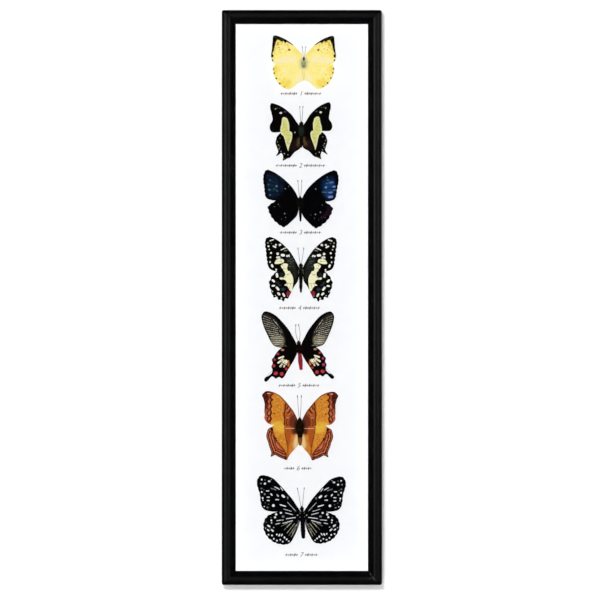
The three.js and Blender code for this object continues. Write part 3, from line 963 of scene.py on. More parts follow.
def wing_piece(specimen, kind, side_name, settings, material):
    """One wing: a scaled membrane with two faces and raised veins, and its markings' fields."""
    side = -1 if side_name == "left" else 1
    spacing = settings.spacing / MM
    loop = wing_outline(specimen, kind, side, spacing)
    flat, triangles = wing_grid(loop, spacing)
    surface = WingSurface(specimen, kind, side, specimen[side_name], settings.ripple / MM)
    veins = vein_paths(loop, kind)
    vein_gap = np.min([distance_to_path(flat, path) for path in veins], axis=0)
    crease = CREASE_HEIGHT * np.exp(-((vein_gap / CREASE_WIDTH) ** 2))
    half = np.full(len(flat), WING_HALF_THICKNESS)
    sculpt = Sculpt()
    front = sculpt.add(surface.at(flat, half + crease), [])
    back = sculpt.add(surface.at(flat, -half), [])
    sculpt.faces = membrane_faces(flat, triangles, side, front, back)
    sculpt.slots = [0] * len(sculpt.faces)
    flats = [flat, flat]
    gaps = [vein_gap, vein_gap]
    for path in veins:
        thick = np.linspace(*VEIN_RADII, len(path))
        for facing in (1, -1):
            lift = facing * (WING_HALF_THICKNESS + VEIN_PROUD) * np.ones(len(path))
            sculpt.tube(surface.at(path, lift), thick.tolist(), VEIN_SIDES)
            flats.append(np.repeat(path, VEIN_SIDES, axis=0))
            gaps.append(np.zeros(VEIN_SIDES * len(path)))
    flat = np.concatenate(flats)
    fields = wing_fields(specimen, kind, side_name, flat, loop, np.concatenate(gaps))
    name = specimen["name"]
    made = sculpt.finish(f"wing_{name}_{kind}_{side_name}", [material], fields)
    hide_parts(f"{name}_{kind}_{side_name}")


def scale_material(specimen, title, base, layers, vein=None, fuzz=None):
    """Wing or body scales: layered markings with ragged edges, dust, sheen and fine relief."""
    made = Recipe(f"{title}_{specimen['name']}")
    fine = made.grain(0.22, 3, 0.7)
    coarse = made.grain(1.5, 3, 0.6)
    ragged = made.math("MULTIPLY_ADD", made.grain(0.9, 3, 0.6), 1.5, -0.75)
    first, second = base
    tint = made.mix(made.ramp(coarse, 0.3, 0.7), shade(first), shade(second))
    for group, colours, soft, jitter, inset in layers:
        level = made.math("MULTIPLY_ADD", ragged, jitter, made.field(group))
        share = made.ramp(level, inset - soft / 2, inset + soft / 2)
        colour = made.mix(made.ramp(fine, 0.3, 0.7), shade(colours[0]), shade(colours[1]))
        tint = made.mix(share, tint, colour)
    if vein:
        colour, width, strength = vein
        share = made.ramp(made.field("vein"), 0.0, width, strength, 0.0)
        tint = made.mix(share, tint, shade(colour))
    if fuzz:
        colours, reach = fuzz
        level = made.math("MULTIPLY_ADD", ragged, 3.0, made.field("root"))
        share = made.ramp(level, 0.0, reach, 0.95, 0.0)
        colour = made.mix(made.ramp(fine, 0.3, 0.7), shade(colours[0]), shade(colours[1]))
        tint = made.mix(share, tint, colour)
    dust = made.ramp(fine, 0.25, 0.75, 0.86, 1.1)
    grey = made.add("ShaderNodeCombineColor", {"Red": dust, "Green": dust, "Blue": dust})
    tint = made.mix(1.0, tint, grey.outputs[0], "MULTIPLY")
    rows = made.add(
        "ShaderNodeTexWave",
        {"Vector": made.place, "Scale": 900.0, "Distortion": 2.0, "Detail": 2.0},
        bands_direction="Z",
    ).outputs["Fac"]
    relief = made.bump(rows, 0.012, made.bump(fine, 0.03))
    return made.set(
        Base_Color=tint,
        Roughness=made.ramp(fine, 0.2, 0.8, 0.62, 0.85),
        Normal=relief,
        Specular_IOR_Level=0.03,
        Sheen_Weight=specimen.get("sheen", 0.0),
        Sheen_Roughness=0.4,
    )


def eye_material():
    """Dark glossy eye with faint facets, each painted darker in its hollow as shade."""
    made = Recipe("insect_eye")
    cell = made.cells(9000.0)["Distance"]
    # painted shade: darker towards each facet's middle, where the bump dips
    tint = made.mix(made.ramp(cell, 0.0, 0.6), shade(0x0C0907), shade(0x2A1D15))
    return made.set(Base_Color=tint, Roughness=0.25, Normal=made.bump(cell, 0.01))


def feeler_material(code):
    """Thin ringed antenna."""
    made = Recipe("feeler")
    rings = made.grain(0.3, 2, stretch=(0.2, 0.2, 1))
    tint = made.mix(made.ramp(rings, 0.4, 0.6), shade(code), shade(0x2B2723))
    return made.set(Base_Color=tint, Roughness=0.6, Normal=made.bump(rings, 0.02))


def trunk_radius(profile, z):
    """Radius of a body at a height, smoothly between its stated stations."""
    for (z0, r0), (z1, r1) in zip(profile, profile[1:]):
        if z1 <= z <= z0:
            share = (z0 - z) / (z0 - z1)
            share = share * share * (3 - 2 * share)
            return r0 + (r1 - r0) * share
    return 0.0


def add_trunk(sculpt, profile, waist_z):
    """Head, thorax and abdomen as one turned shape, in segments below the waist."""
    points = []
    for i in range(TRUNK_ROWS + 1):
        z = profile[0][0] + (profile[-1][0] - profile[0][0]) * i / TRUNK_ROWS
        radius = max(trunk_radius(profile, z), 0.03)
        if z < waist_z:
            ring = (waist_z - z) / SEGMENT_LENGTH % 1
            radius *= 1.0 - 0.09 * math.exp(-(((ring - 0.5) / 0.5) ** 2 - 1) ** 2 * 6)
        for k in range(TRUNK_SIDES):
            turn = 2 * math.pi * k / TRUNK_SIDES
            bulge = 1 + 0.03 * noise.noise(Vector((*on_circle(turn, 2), z / 2)))
            points.append((*on_circle(turn, radius * bulge, BODY_FLATNESS), z))
    faces = [(a, d, c, b) for a, b, c, d in ring_faces(TRUNK_ROWS + 1, TRUNK_SIDES)]
    last = TRUNK_ROWS * TRUNK_SIDES
    caps = [tuple(range(TRUNK_SIDES)), tuple(reversed(range(last, last + TRUNK_SIDES)))]
    sculpt.add(points, faces + caps)


def add_head_parts(sculpt, specimen, side):
    """An eye, a palp and a clubbed antenna on one side of the head."""
    head_z = specimen["body"][0][0]
    eye_z, radius = specimen["body"][1]
    eye = (side * radius * 0.72, -0.25, eye_z + 0.1)
    sculpt.ball(eye, (radius * 0.42, radius * 0.5, radius * 0.5), slot=1)
    palp = [(side * 0.35, -0.4, head_z), (side * 0.3, -0.7, head_z + 0.9)]
    sculpt.tube(palp, [0.3, 0.12], 8)
    tip_x, tip_z, bow = specimen["antenna"]
    bends = [
        (side * 0.5, -0.2, head_z - 0.4),
        (side * (tip_x / 2 + bow), -0.3, (head_z + tip_z) / 2),
        (side * tip_x, -0.3, tip_z + 1.0),
    ]
    path = smooth_path(bends, False, 0.6)
    shares = [k / (len(path) - 1) for k in range(len(path))]
    radii = [0.2 - 0.05 * t + 0.3 * math.exp(-(((t - 0.95) / 0.05) ** 2)) for t in shares]
    radii[-1] = 0.12
    sculpt.tube(path, radii, 7, slot=2)


def add_hairs(sculpt, specimen, profile, count):
    """Short hairs, most on the thorax and fewer on the head and the abdomen."""
    head_z, neck_z, waist_z, tail_z = (specimen["body"][i][0] for i in (0, 2, 5, -1))
    draw = random.Random(specimen["name"])
    for _ in range(count):
        zone = draw.random()
        if zone < THORAX_SHARE:
            low, high, lengths = waist_z - 0.6, neck_z, (0.9, 1.7)
        elif zone < THORAX_SHARE + HEAD_SHARE:
            low, high, lengths = neck_z, head_z, (0.5, 1.0)
        else:
            low, high, lengths = tail_z, waist_z, (0.4, 0.8)
        z = draw.uniform(low, high)
        length = draw.uniform(*lengths)
        radius = trunk_radius(profile, z)
        turn = draw.uniform(0, 2 * math.pi)
        normal = Vector((*on_circle(turn, 1.0, BODY_FLATNESS), 0))
        start = normal * (radius - 0.1) + Vector((0, 0, z))
        lean = Vector((draw.gauss(0, 0.25), draw.gauss(0, 0.25), -1.1 if z < neck_z else 0.3))
        heading = (normal * draw.uniform(0.35, 0.8) + lean * 0.75).normalized()
        middle = start + heading * length * 0.5
        end = middle + (heading + Vector((0, 0, -0.25))).normalized() * length * 0.5
        sculpt.tube([start, middle, end], [0.07, 0.05, 0.012], 3)


def body_piece(specimen, settings, materials):
    """Head, hairy thorax, segmented abdomen, eyes, palps and antennae."""
    stations = specimen["body"]
    profile = [(stations[0][0] + 0.6, 0.0), *stations, (stations[-1][0] - 0.8, 0.0)]
    sculpt = Sculpt()
    add_trunk(sculpt, profile, stations[5][0])
    for side in (-1, 1):
        add_head_parts(sculpt, specimen, side)
    add_hairs(sculpt, specimen, profile, settings.hairs)
    raw = np.array(sculpt.points)
    flat = np.stack([np.abs(raw[:, 0]), raw[:, 2]], 1)
    fields = mark_fields(specimen, ("body",), flat, np.zeros(len(flat)))
    lean = math.radians(specimen["lean"])
    cos, sin = math.cos(lean), math.sin(lean)
    sculpt.points = [
        (
            specimen["x"] + x * cos + z * sin,
            CARD_FRONT + BODY_LEVEL + y,
            FRAME_CENTRE + specimen["z"] - x * sin + z * cos,
        )
        for x, y, z in raw
    ]
    name = specimen["name"]
    made = sculpt.finish(f"body_{name}", materials, fields)
    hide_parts(f"{name}_body")


def make_butterfly(specimen, settings):
    """The four wings and the body of one specimen."""
    fuzz = (specimen.get("fuzz", specimen["hair"]), specimen.get("fuzz_reach", 2.4))
    wing = scale_material(
        specimen, "wing", specimen["ground"], specimen["layers"], specimen["vein"], fuzz
    )
    body = scale_material(specimen, "body", specimen["hair"], specimen["body_layers"])
    for kind in ("forewing", "hindwing"):
        for side_name in ("left", "right"):
            wing_piece(specimen, kind, side_name, settings, wing)
    body_piece(specimen, settings, [body, eye_material(), feeler_material(specimen["feeler"])])


# ---- Butterflies: the seven specimens ------------------------------------------------------
# left, right: degrees that the wings are turned up, and their size. layers: marking group, its
# two colours, softness and raggedness of its edge in millimetres, and how far it is drawn in.

LEMON = {
    "name": "lemon",
    "tuck": 1.7,
    "feeler": 0x6F7668,
    "x": 2,
    "z": 237.5,
    "lean": 1,
    "left": (0, 1.01),
    "right": (0, 0.99),
    "body": [(2.2, 0.8), (0.9, 1.5), (-0.6, 1.3), (-2, 2.1), (-5, 2.2), (-8, 1.5), (-14, 1.4),
             (-20, 0.9)],
    "antenna": (1.8, 12.6, 0.2),
    "forewing": [
        (2.6, 0), (4, 6), (6.8, 10.8), (11, 15.2), (17, 19.6), (23, 22.6), (28.5, 24.2),
        (30.2, 23.6), (31, 18), (31.7, 10), (32.4, 4.5), (31.8, 0), (30, -3), (25, -3.8),
        (16, -3.2), (8, -2.2), (3, -1.8),
    ],
    "hindwing": [
        (2.6, 0.5), (9, 1), (17, 0.2), (24, -1.6), (28, -3.8), (30.6, -8), (30.3, -13),
        (28.2, -18.5), (24.5, -24), (19.5, -27.8), (15, -29), (10.5, -26.8), (6, -22.6),
        (2.8, -20), (2.2, -12), (2.8, -6),
    ],
    "ground": (0xF9E888, 0xFBEE9A),
    "hair": (0x8B8F6E, 0xB9B98A),
    "fuzz": (0xB4B58A, 0xDCD9A2),
    "fuzz_reach": 4.2,
    "vein": (0xE9D777, 0.35, 0.2),
    "layers": [
        ("cream", (0xF9EBAC, 0xFBEFC0), 5.5, 2.5, 1.6),
        ("gold", (0xF4D95C, 0xF6DE6E), 5.0, 2.5, 1.4),
        ("saffron", (0xF1D022, 0xF6DC48), 0.7, 1.8, 0),
        ("freckle", (0x946828, 0xC99C40), 0.6, 1.5, 0),
        ("brown", (0x3C2410, 0x52351C), 0.35, 0.4, 0),
        ("black", (0x080503, 0x0E0905), 0.3, 1.0, -0.75),
    ],
    "body_layers": [
        ("pale", (0xEFE29A, 0xF4EBB4), 2.5, 1.0, 0),
        ("brown", (0x42240C, 0x5E3818), 0.7, 0.7, 0),
    ],
    "marks": {
        "forewing": {
            "black": [
                [(11, 15.4), (15, 17.7), (17.4, 18.4), (18.4, 17.8), (19.6, 19.2), (21.4, 19.5),
                 (22.4, 18.8), (23.8, 20.6), (25.2, 20.2), (26.4, 21.4), (27.4, 20.6), (27.4, 19),
                 (28.8, 18.6), (28.4, 17), (29.5, 16.4), (29.1, 14.7), (30.1, 13.9),
                 (29.6, 12.2), (30.5, 11.4), (30.3, 9.6), (31.3, 8.4), (31.4, 7), (34, 6),
                 (34, 26), (28, 27), (20, 24)],
                (31.9, 4.1, 1.1),
            ],
            "brown": [(14.6, 10, 0.75), (23.8, 10, 0.5), (31, -0.4, 0.9)],
            "freckle": [
                (23.3, 18.2, 0.7), (25.3, 17, 0.7), (25.5, 14.9, 0.7), (24.8, 12.4, 0.6),
                (21.3, 18, 0.7), (18.3, 16.8, 0.7), (16, 15, 0.6), (27, 14, 0.6), (14.6, 10, 1.2),
                (26.6, 15.8, 0.6), (22, 15.4, 0.5), (28.6, 10.6, 0.6), (29.4, 7.4, 0.5),
            ],
            "gold": [[(3, 3), (6, 5), (11, 10), (9, 12), (4, 8)]],
            "saffron": [
                (26.4, 18.6, 0.9), (24, 19, 0.8), (27.6, 15.4, 0.9), (28.4, 12.2, 0.9),
                (29, 9, 0.8), (29.4, 5.6, 0.8), (26.4, 11.6, 0.9), (26, 8.4, 0.8), (21.4, 16.2, 0.9),
                (18.8, 14.4, 0.8), (23.6, 15.6, 0.8), (20.8, 11.4, 0.8), (27.2, 5.8, 0.7),
                (23.4, 7.2, 0.7), (15.4, 13.2, 0.8), (17.4, 8.6, 0.7), (29.2, 2.2, 0.7),
            ],
            "cream": [
                [(8, 4), (16, 5.5), (24, 3), (30, 1), (31, -4), (18, -6), (6, -4)],
                [(16, 12), (20, 9), (23, 13), (20, 15)],
            ],
        },
        "hindwing": {
            "brown": [
                (29.9, -9, 0.85), (29.3, -13.1, 0.85), (27.3, -18.3, 0.9), (24, -23.4, 0.95),
                (19.4, -26.6, 0.65), (30, -5.6, 0.5),
            ],
            "gold": [
                [(12, -20), (23, -19), (25, -24), (18, -29), (12, -26)],
                [(24, -6), (30, -6), (31, -13), (26, -14)],
            ],
            "saffron": [
                (27.8, -7, 0.9), (28, -11, 0.9), (26.4, -15, 0.9), (24.4, -19, 0.9),
                (21, -22.6, 0.9), (24, -10, 0.8), (22.6, -14.6, 0.8), (17, -25, 0.9),
                (19.4, -18.6, 0.8), (15, -21, 0.8), (26.4, -3.8, 0.7),
            ],
            "cream": [
                [(4, 0), (14, 1), (24, 0), (24, -2), (14, -3), (8, -5)],
                [(2, -11), (6, -12), (9, -17), (10, -21), (5, -23), (2, -22)],
                [(17, -8), (22, -9), (21, -14), (16, -13)],
            ],
        },
        "body": {
            "pale": [[(0, -8.6), (3, -8.6), (3, -23), (0, -23)]],
            "brown": [(0, 1, 1.5), (0.4, -6, 0.5)],
        },
    },
}

NAWAB = {
    "name": "nawab",
    "tuck": 1.8,
    "feeler": 0x1A1815,
    "scallops": {"hindwing": (0.35, 7)},
    "x": -0.5,
    "z": 168.5,
    "lean": 0,
    "left": (-1.5, 1.01),
    "right": (1.5, 0.99),
    "body": [(7, 0.8), (5.6, 1.8), (4.4, 2.1), (2, 3.2), (-2.5, 3.2), (-6, 2), (-12, 1.6), (-18, 0.8)],
    "antenna": (1.6, 22, 0.3),
    "forewing": [
        (3, 1.5), (5.5, 8.5), (9.5, 14.5), (16, 20.5), (22.5, 24.3), (29.2, 26), (30.4, 22.5),
        (29, 15.5), (28.3, 9.5), (30.8, 5), (31.2, 0.6), (29, -2.4), (20.5, -2.5), (12, -2.2),
        (3.2, -1.6),
    ],
    "hindwing": [
        (3, 1), (10, 1.5), (17, 0), (21, -3.5), (24.2, -7), (25.8, -12), (24.9, -17.3),
        (23.4, -21.4), (25.7, -26.2), (23.2, -25), (20.2, -23.4), (18.8, -26.6), (19.2, -30.8),
        (16.8, -29.8), (12.2, -28), (7.5, -23), (3, -18.5), (2.4, -11), (2.8, -5),
    ],
    "ground": (0x050404, 0x090807),
    "hair": (0x060504, 0x12130E),
    "vein": (0x14110D, 0.3, 0.4),
    "layers": [
        ("maroon", (0x140D0B, 0x241815), 3.5, 3.5, 0.4),
        ("fawn", (0x7E6442, 0x2C2118), 4.0, 5.0, 0.6),
        ("band", (0xEDEAC2, 0xE2DFA9), 0.5, 0.5, 0),
        ("band", (0xC8C86C, 0xDCDA8C), 1.4, 1.6, 1.2),
        ("purple", (0x4A3B52, 0x5C4A60), 0.5, 0.5, 0),
        ("grey", (0xD2D0C2, 0xA4A292), 0.5, 0.5, 0),
        ("white", (0xF2EFDF, 0xE4E1CC), 0.4, 0.4, 0),
        ("green", (0x8E9A63, 0x77834F), 0.6, 0.5, 0),
    ],
    "body_layers": [("grey", (0x1A1F19, 0x262B22), 2.0, 0.6, 0)],
    "marks": {
        "forewing": {
            "band": [
                [(18.6, 11.4), (16.6, 12.1), (13.8, 10.6), (12.8, 8), (11.9, 4.5), (12, 0.5),
                 (12.3, -3), (20, -4.5), (20.8, -1.7), (20.4, 2.5), (19.5, 6), (19, 9)],
            ],
            "white": [(20, 16.3, 1.35, 0.9)],
            "grey": [(25.2, 20.4, 0.6), (23.5, 21.2, 0.3), (21, 21, 0.3)],
            "purple": [(15.5, 17.4, 1.5, 0.6)],
        },
        "hindwing": {
            "band": [
                [(12, 0), (10.6, -2.2), (9.3, -3.8), (9.5, -8.5), (11, -13.3), (12.7, -18),
                 (13.6, -21.6), (14.5, -18.7), (15.7, -14.5), (16.7, -10), (18, -6.4),
                 (20.2, -4.6), (20.4, -1)],
            ],
            "maroon": [[(4, -10), (9, -11), (11, -16), (12, -21), (7, -22), (4, -19)]],
            "fawn": [(2.2, -9.6, 3.8, -15.8, 1.4)],
            "grey": [
                (24.2, -12.2, 0.45), (23.1, -15.3, 0.5), (22.6, -19, 0.5), (20.8, -21.6, 0.5),
                (17.5, -24, 0.55), (14, -25.2, 0.4), (21.5, -8.5, 0.4), (21.8, -17, 0.35),
            ],
            "green": [(14.3, -29.2, 1.6, 0.6), (18.2, -29, 0.5)],
        },
        "hindwing_left": {"grey": [(6.4, -3.3, 0.65)]},
        "body": {"grey": [[(0, 2), (2, 2), (2.6, -6), (0, -7)]]},
    },
}

EGGFLY = {
    "name": "eggfly",
    "tuck": 1.0,
    "feeler": 0x1A1815,
    "scallops": {"forewing": (0.55, 8), "hindwing": (0.8, 9)},
    "x": -1.7,
    "z": 97.5,
    "lean": -1,
    "left": (1, 0.99),
    "right": (-1, 1.01),
    "sheen": 0.02,
    "body": [(3, 0.8), (1.6, 1.7), (0.4, 1.7), (-1.5, 2.6), (-5, 2.5), (-8, 1.5), (-14, 1.4),
             (-21, 0.9)],
    "antenna": (2, 19, 0.4),
    "forewing": [
        (2.7, 0.5), (4.5, 7), (9.2, 13.6), (15.6, 19.8), (22.5, 25), (29.5, 28.7), (34.2, 29.8),
        (36.8, 26.5), (37.7, 20), (36.6, 12.5), (36, 8), (35.3, 3.5), (33.3, 0.8), (29, -0.7),
        (20, -1.4), (10, -1.4), (3, -1.6),
    ],
    "hindwing": [
        (2.8, 0), (12, 2), (21, 0.5), (28.5, -3.8), (32.4, -7.5), (31.6, -11.6), (29.6, -16),
        (26.5, -20.5), (22, -24.4), (18.5, -26.8), (15.5, -27.5), (11.5, -24.6), (7, -20.4),
        (4, -15.6), (2.4, -10), (2.7, -5),
    ],
    "ground": (0x030304, 0x070709),
    "hair": (0x050504, 0x10100D),
    "vein": (0x04050A, 0.75, 0.8),
    # navy, teal, blue, azure and plum paint the wings' iridescent blue-purple sheen as colour: navy and
    # teal on the left forewing, brighter blue and azure on the right, plum on the right hindwing only
    "layers": [
        ("navy", (0x122034, 0x0B1420), 4.5, 2.5, 1.0),
        ("teal", (0x172B3A, 0x0F202C), 5.0, 3.0, 1.2),
        ("blue", (0x10264A, 0x0A1A34), 4.5, 2.5, 1.2),
        ("azure", (0x1B3F6A, 0x133254), 5.0, 3.0, 1.4),
        ("plum", (0x30182A, 0x0A0708), 2.0, 7.0, 1.2),
        ("grey", (0xB2B6BC, 0x7C828A), 0.5, 0.5, 0),
        ("spot", (0x567F9C, 0x34587A), 1.4, 1.2, 0),
        ("bright", (0x8599D6, 0x5472B8), 1.5, 1.1, 0),
    ],
    "body_layers": [],
    "marks": {
        "forewing": {"grey": [(15.2, 11.1, 0.55)]},
        # painted sheen: navy and teal on this forewing
        "forewing_left": {
            "navy": [[(16, 21), (27, 26.5), (34, 26), (35.4, 18), (34.6, 9), (33, 2), (24, 0.5),
                      (17, 8)]],
            "teal": [[(22, 19), (31, 21), (34, 12), (30, 6), (22, 9)]],
            "spot": [
                (30.8, 19.5, 0.5), (32.3, 15.1, 0.5), (31.2, 9.8, 1.0, 0.9), (23.3, 8.7, 0.5),
                (30.6, 4.6, 0.7), (27, 11, 25, 10.6, 0.3),
            ],
            "bright": [(24.1, 13.7, 0.9)],
            "grey": [(19.2, 20.9, 0.3), (11.9, 13.4, 0.4), (33.5, 24, 0.3)],
        },
        # painted sheen: blue and azure on this forewing, brighter than on the left
        "forewing_right": {
            "blue": [[(19, 19), (26, 23.5), (33, 24.5), (35.6, 18), (34.8, 9), (33.4, 2),
                      (27, -0.5), (21, 8)]],
            "azure": [[(24, 20), (31, 20.5), (34.4, 13), (32.6, 4), (25, 2.5), (22, 11)]],
            "spot": [
                (27.6, 20, 26.6, 20.4, 0.6), (22, 8, 26, 7.8, 0.5), (33, 10.4, 35, 10.6, 0.5),
                (26, 16.4, 29, 17, 0.5),
            ],
            "bright": [
                (29.6, 17.5, 32.4, 17.8, 0.75), (32.6, 13.6, 34.2, 13.8, 0.75), (25.3, 12.9, 1.05),
                (28.4, 7.7, 31.2, 8, 0.65), (28.6, 3.4, 31.4, 3.6, 1.1),
            ],
            "grey": [(22, 19, 0.3), (26.4, 23, 0.4)],
        },
        "hindwing": {
            "grey": [
                (15.4, -14, 0.6), (14.4, -17.8, 0.35), (22, -4.7, 0.4), (18.6, -19.6, 0.22),
                (21.4, -16.8, 0.2), (23.6, -13.6, 0.22), (26.4, -12, 0.2),
            ],
        },
        "hindwing_left": {"grey": [(25.7, -7.1, 0.4), (20.5, -6.5, 0.25)]},
        # painted sheen: plum on this hindwing only
        "hindwing_right": {
            "plum": [[(25, -5), (30, -5.5), (33, -8), (29, -15), (21, -20), (19, -17), (25, -11)]],
            "grey": [(20.3, -11.8, 0.55, 0.8), (10.8, -14.6, 0.35), (25, -17, 0.25)],
        },
    },
}

LIME = {
    "name": "lime",
    "tuck": 1.0,
    "feeler": 0x1A1815,
    "scallops": {"forewing": (0.7, 8), "hindwing": (0.9, 9)},
    "x": -1,
    "z": 28.5,
    "lean": 0,
    "left": (0.2, 1),
    "right": (-0.2, 1),
    "body": [(5, 0.9), (3.6, 1.9), (2.4, 2), (0, 3.1), (-5, 3), (-9, 1.8), (-16, 1.7), (-23, 0.9)],
    "antenna": (3, 20.5, 0.3),
    "forewing": [
        (3.1, 1), (5.5, 8.6), (10, 16), (15, 21.8), (21, 27), (27, 30.6), (32.2, 31.8),
        (35.2, 29.6), (35.8, 24.5), (35, 19), (34.5, 13.5), (33.7, 8), (33, 3.5), (31.4, 0.4),
        (27.5, -1.8), (22, -2.3), (12, -2), (3.3, -1.8),
    ],
    "hindwing": [
        (3.1, 0), (12, 2), (20, 0.5), (24.5, -3), (28.2, -6.3), (30.4, -10.4), (31.7, -14),
        (30.8, -18.4), (30, -21), (28.6, -25), (27, -28.4), (24.2, -27.8), (22.4, -30.6),
        (20, -30.4), (17.6, -32.4), (15.6, -29.6), (13.2, -29.4), (11, -26.4), (9, -22),
        (6.6, -17.4), (4, -12), (3.2, -6),
    ],
    "ground": (0x050404, 0x0A0907),
    "hair": (0x070605, 0x14130F),
    "vein": (0x0C0B09, 0.35, 0.75),
    "layers": [
        ("dust", (0x121412, 0x2A2E29), 3.0, 3.5, 0.8),
        ("grey", (0x9EA094, 0x74766A), 0.45, 0.7, 0),
        ("cream", (0xF5F4CE, 0xEDECC0), 0.4, 0.5, 0),
        ("white", (0xFBFBF2, 0xF0F0E2), 0.4, 0.5, 0),
        ("eye", (0x080707, 0x0E0D0B), 0.4, 0.4, 0),
        ("eye", (0x232A30, 0x171C21), 0.8, 0.8, 1.15),
        ("blue", (0x33414D, 0x1C252D), 1.4, 1.6, 0),
        ("red", (0xA02E3C, 0x74242F), 0.6, 0.5, 0),
    ],
    "body_layers": [("cream", (0x6E6E62, 0x98988A), 0.4, 0.6, 0)],
    "marks": {
        "forewing": {
            "dust": [[(4, 1), (7, 9.5), (11.5, 13.5), (15.5, 12), (14.6, 5), (12.6, -2), (4, -2)]],
            "white": [
                (30.9, 28.1, 27.6, 29.2, 0.55), (32.5, 22.6, 0.9), (31.7, 19.3, 0.65),
                (25, 24.1, 0.95), (27.6, 22.6, 25.4, 21.6, 0.75), (21, 24, 1.2),
                (15.2, 21, 20.2, 18.8, 0.5), (29.9, 15.9, 0.95), (23.2, 15.1, 1.3),
                (18.9, 13.8, 17.2, 13.6, 1.25), (13.8, 13, 12.2, 13, 1.0),
                (23.7, 11.6, 21.3, 11.4, 1.0), (30.5, 11.6, 0.8), (30.8, 6.9, 0.75, 1.0),
                (29, 3.8, 28.3, 2.2, 0.95), (24.7, -0.8, 0.9),
            ],
            "cream": [
                [(26.2, 5.4), (24.2, 9.3), (18, 9.7), (16.8, 7.2), (20, 5.5)],
                [(13, 4.6), (17.5, 5.4), (20, 3.2), (19.4, 1.4), (17.7, -0.6), (16.6, -4),
                 (12.4, -4), (13.8, 0.8)],
            ],
            "grey": [
                (6.8, 8.5, 8.6, 7.4, 0.16), (8, 10.8, 10.6, 9.2, 0.16), (9.4, 13.2, 12, 11.4, 0.16),
                (7, 5, 11.8, 5.6, 0.1), (6.6, 2.6, 12.4, 2.4, 0.08), (9, 7, 13.4, 8.2, 0.12),
                (10.8, 15, 13.4, 13.4, 0.2), (33.1, 26, 0.85), (29.5, 25.5, 0.5),
                (16.5, 18, 14, 18.6, 0.45)],
        },
        "hindwing": {
            "dust": [[(3, 1), (14, 1), (10, -4), (7, -9), (5, -14), (3, -8)]],
            "cream": [
                [(13, 1), (18, 0.5), (16.2, -3), (15.6, -5.9), (17.5, -8.4), (21.2, -8.3),
                 (20.4, -10.6), (17.1, -10.5), (15.1, -11.5), (14, -14), (16.6, -16.4),
                 (14, -17), (12.5, -18.6), (11, -21.4), (9.2, -22.4), (7.9, -16), (7.5, -11),
                 (8.4, -7), (10.4, -3.5)],
            ],
            "white": [
                (24, -5.2, 23.6, -7.6, 1.15), (28.2, -11.2, 26.8, -12.6, 1.0),
                (28.4, -17, 26.6, -16.8, 0.85), (24, -18.6, 22.4, -20.6, 1.05),
                (22.6, -24.4, 21.4, -25.4, 1.0), (17.6, -25, 16.6, -27, 0.95),
                (28.3, -22.5, 0.6), (25.4, -26.6, 0.5), (19.3, -29.3, 0.7), (13, -27, 0.5),
            ],
            "eye": [(19.2, -5.3, 3.0, 2.9)],
            "blue": [(17.8, -20.4, 2.2, 1.5), (21.5, -16, 1.5, 1.0), (23.5, -13.6, 1.2, 0.9)],
            "red": [(12.3, -24.6, 2.1, 2.7)],
        },
        "body": {
            "cream": [(1.3, 2.6, 1.6, -3.6, 0.16), (2.6, -1, 2.5, -5, 0.16),
                      (1.7, -10, 1.6, -21, 0.25)],
        },
    },
}

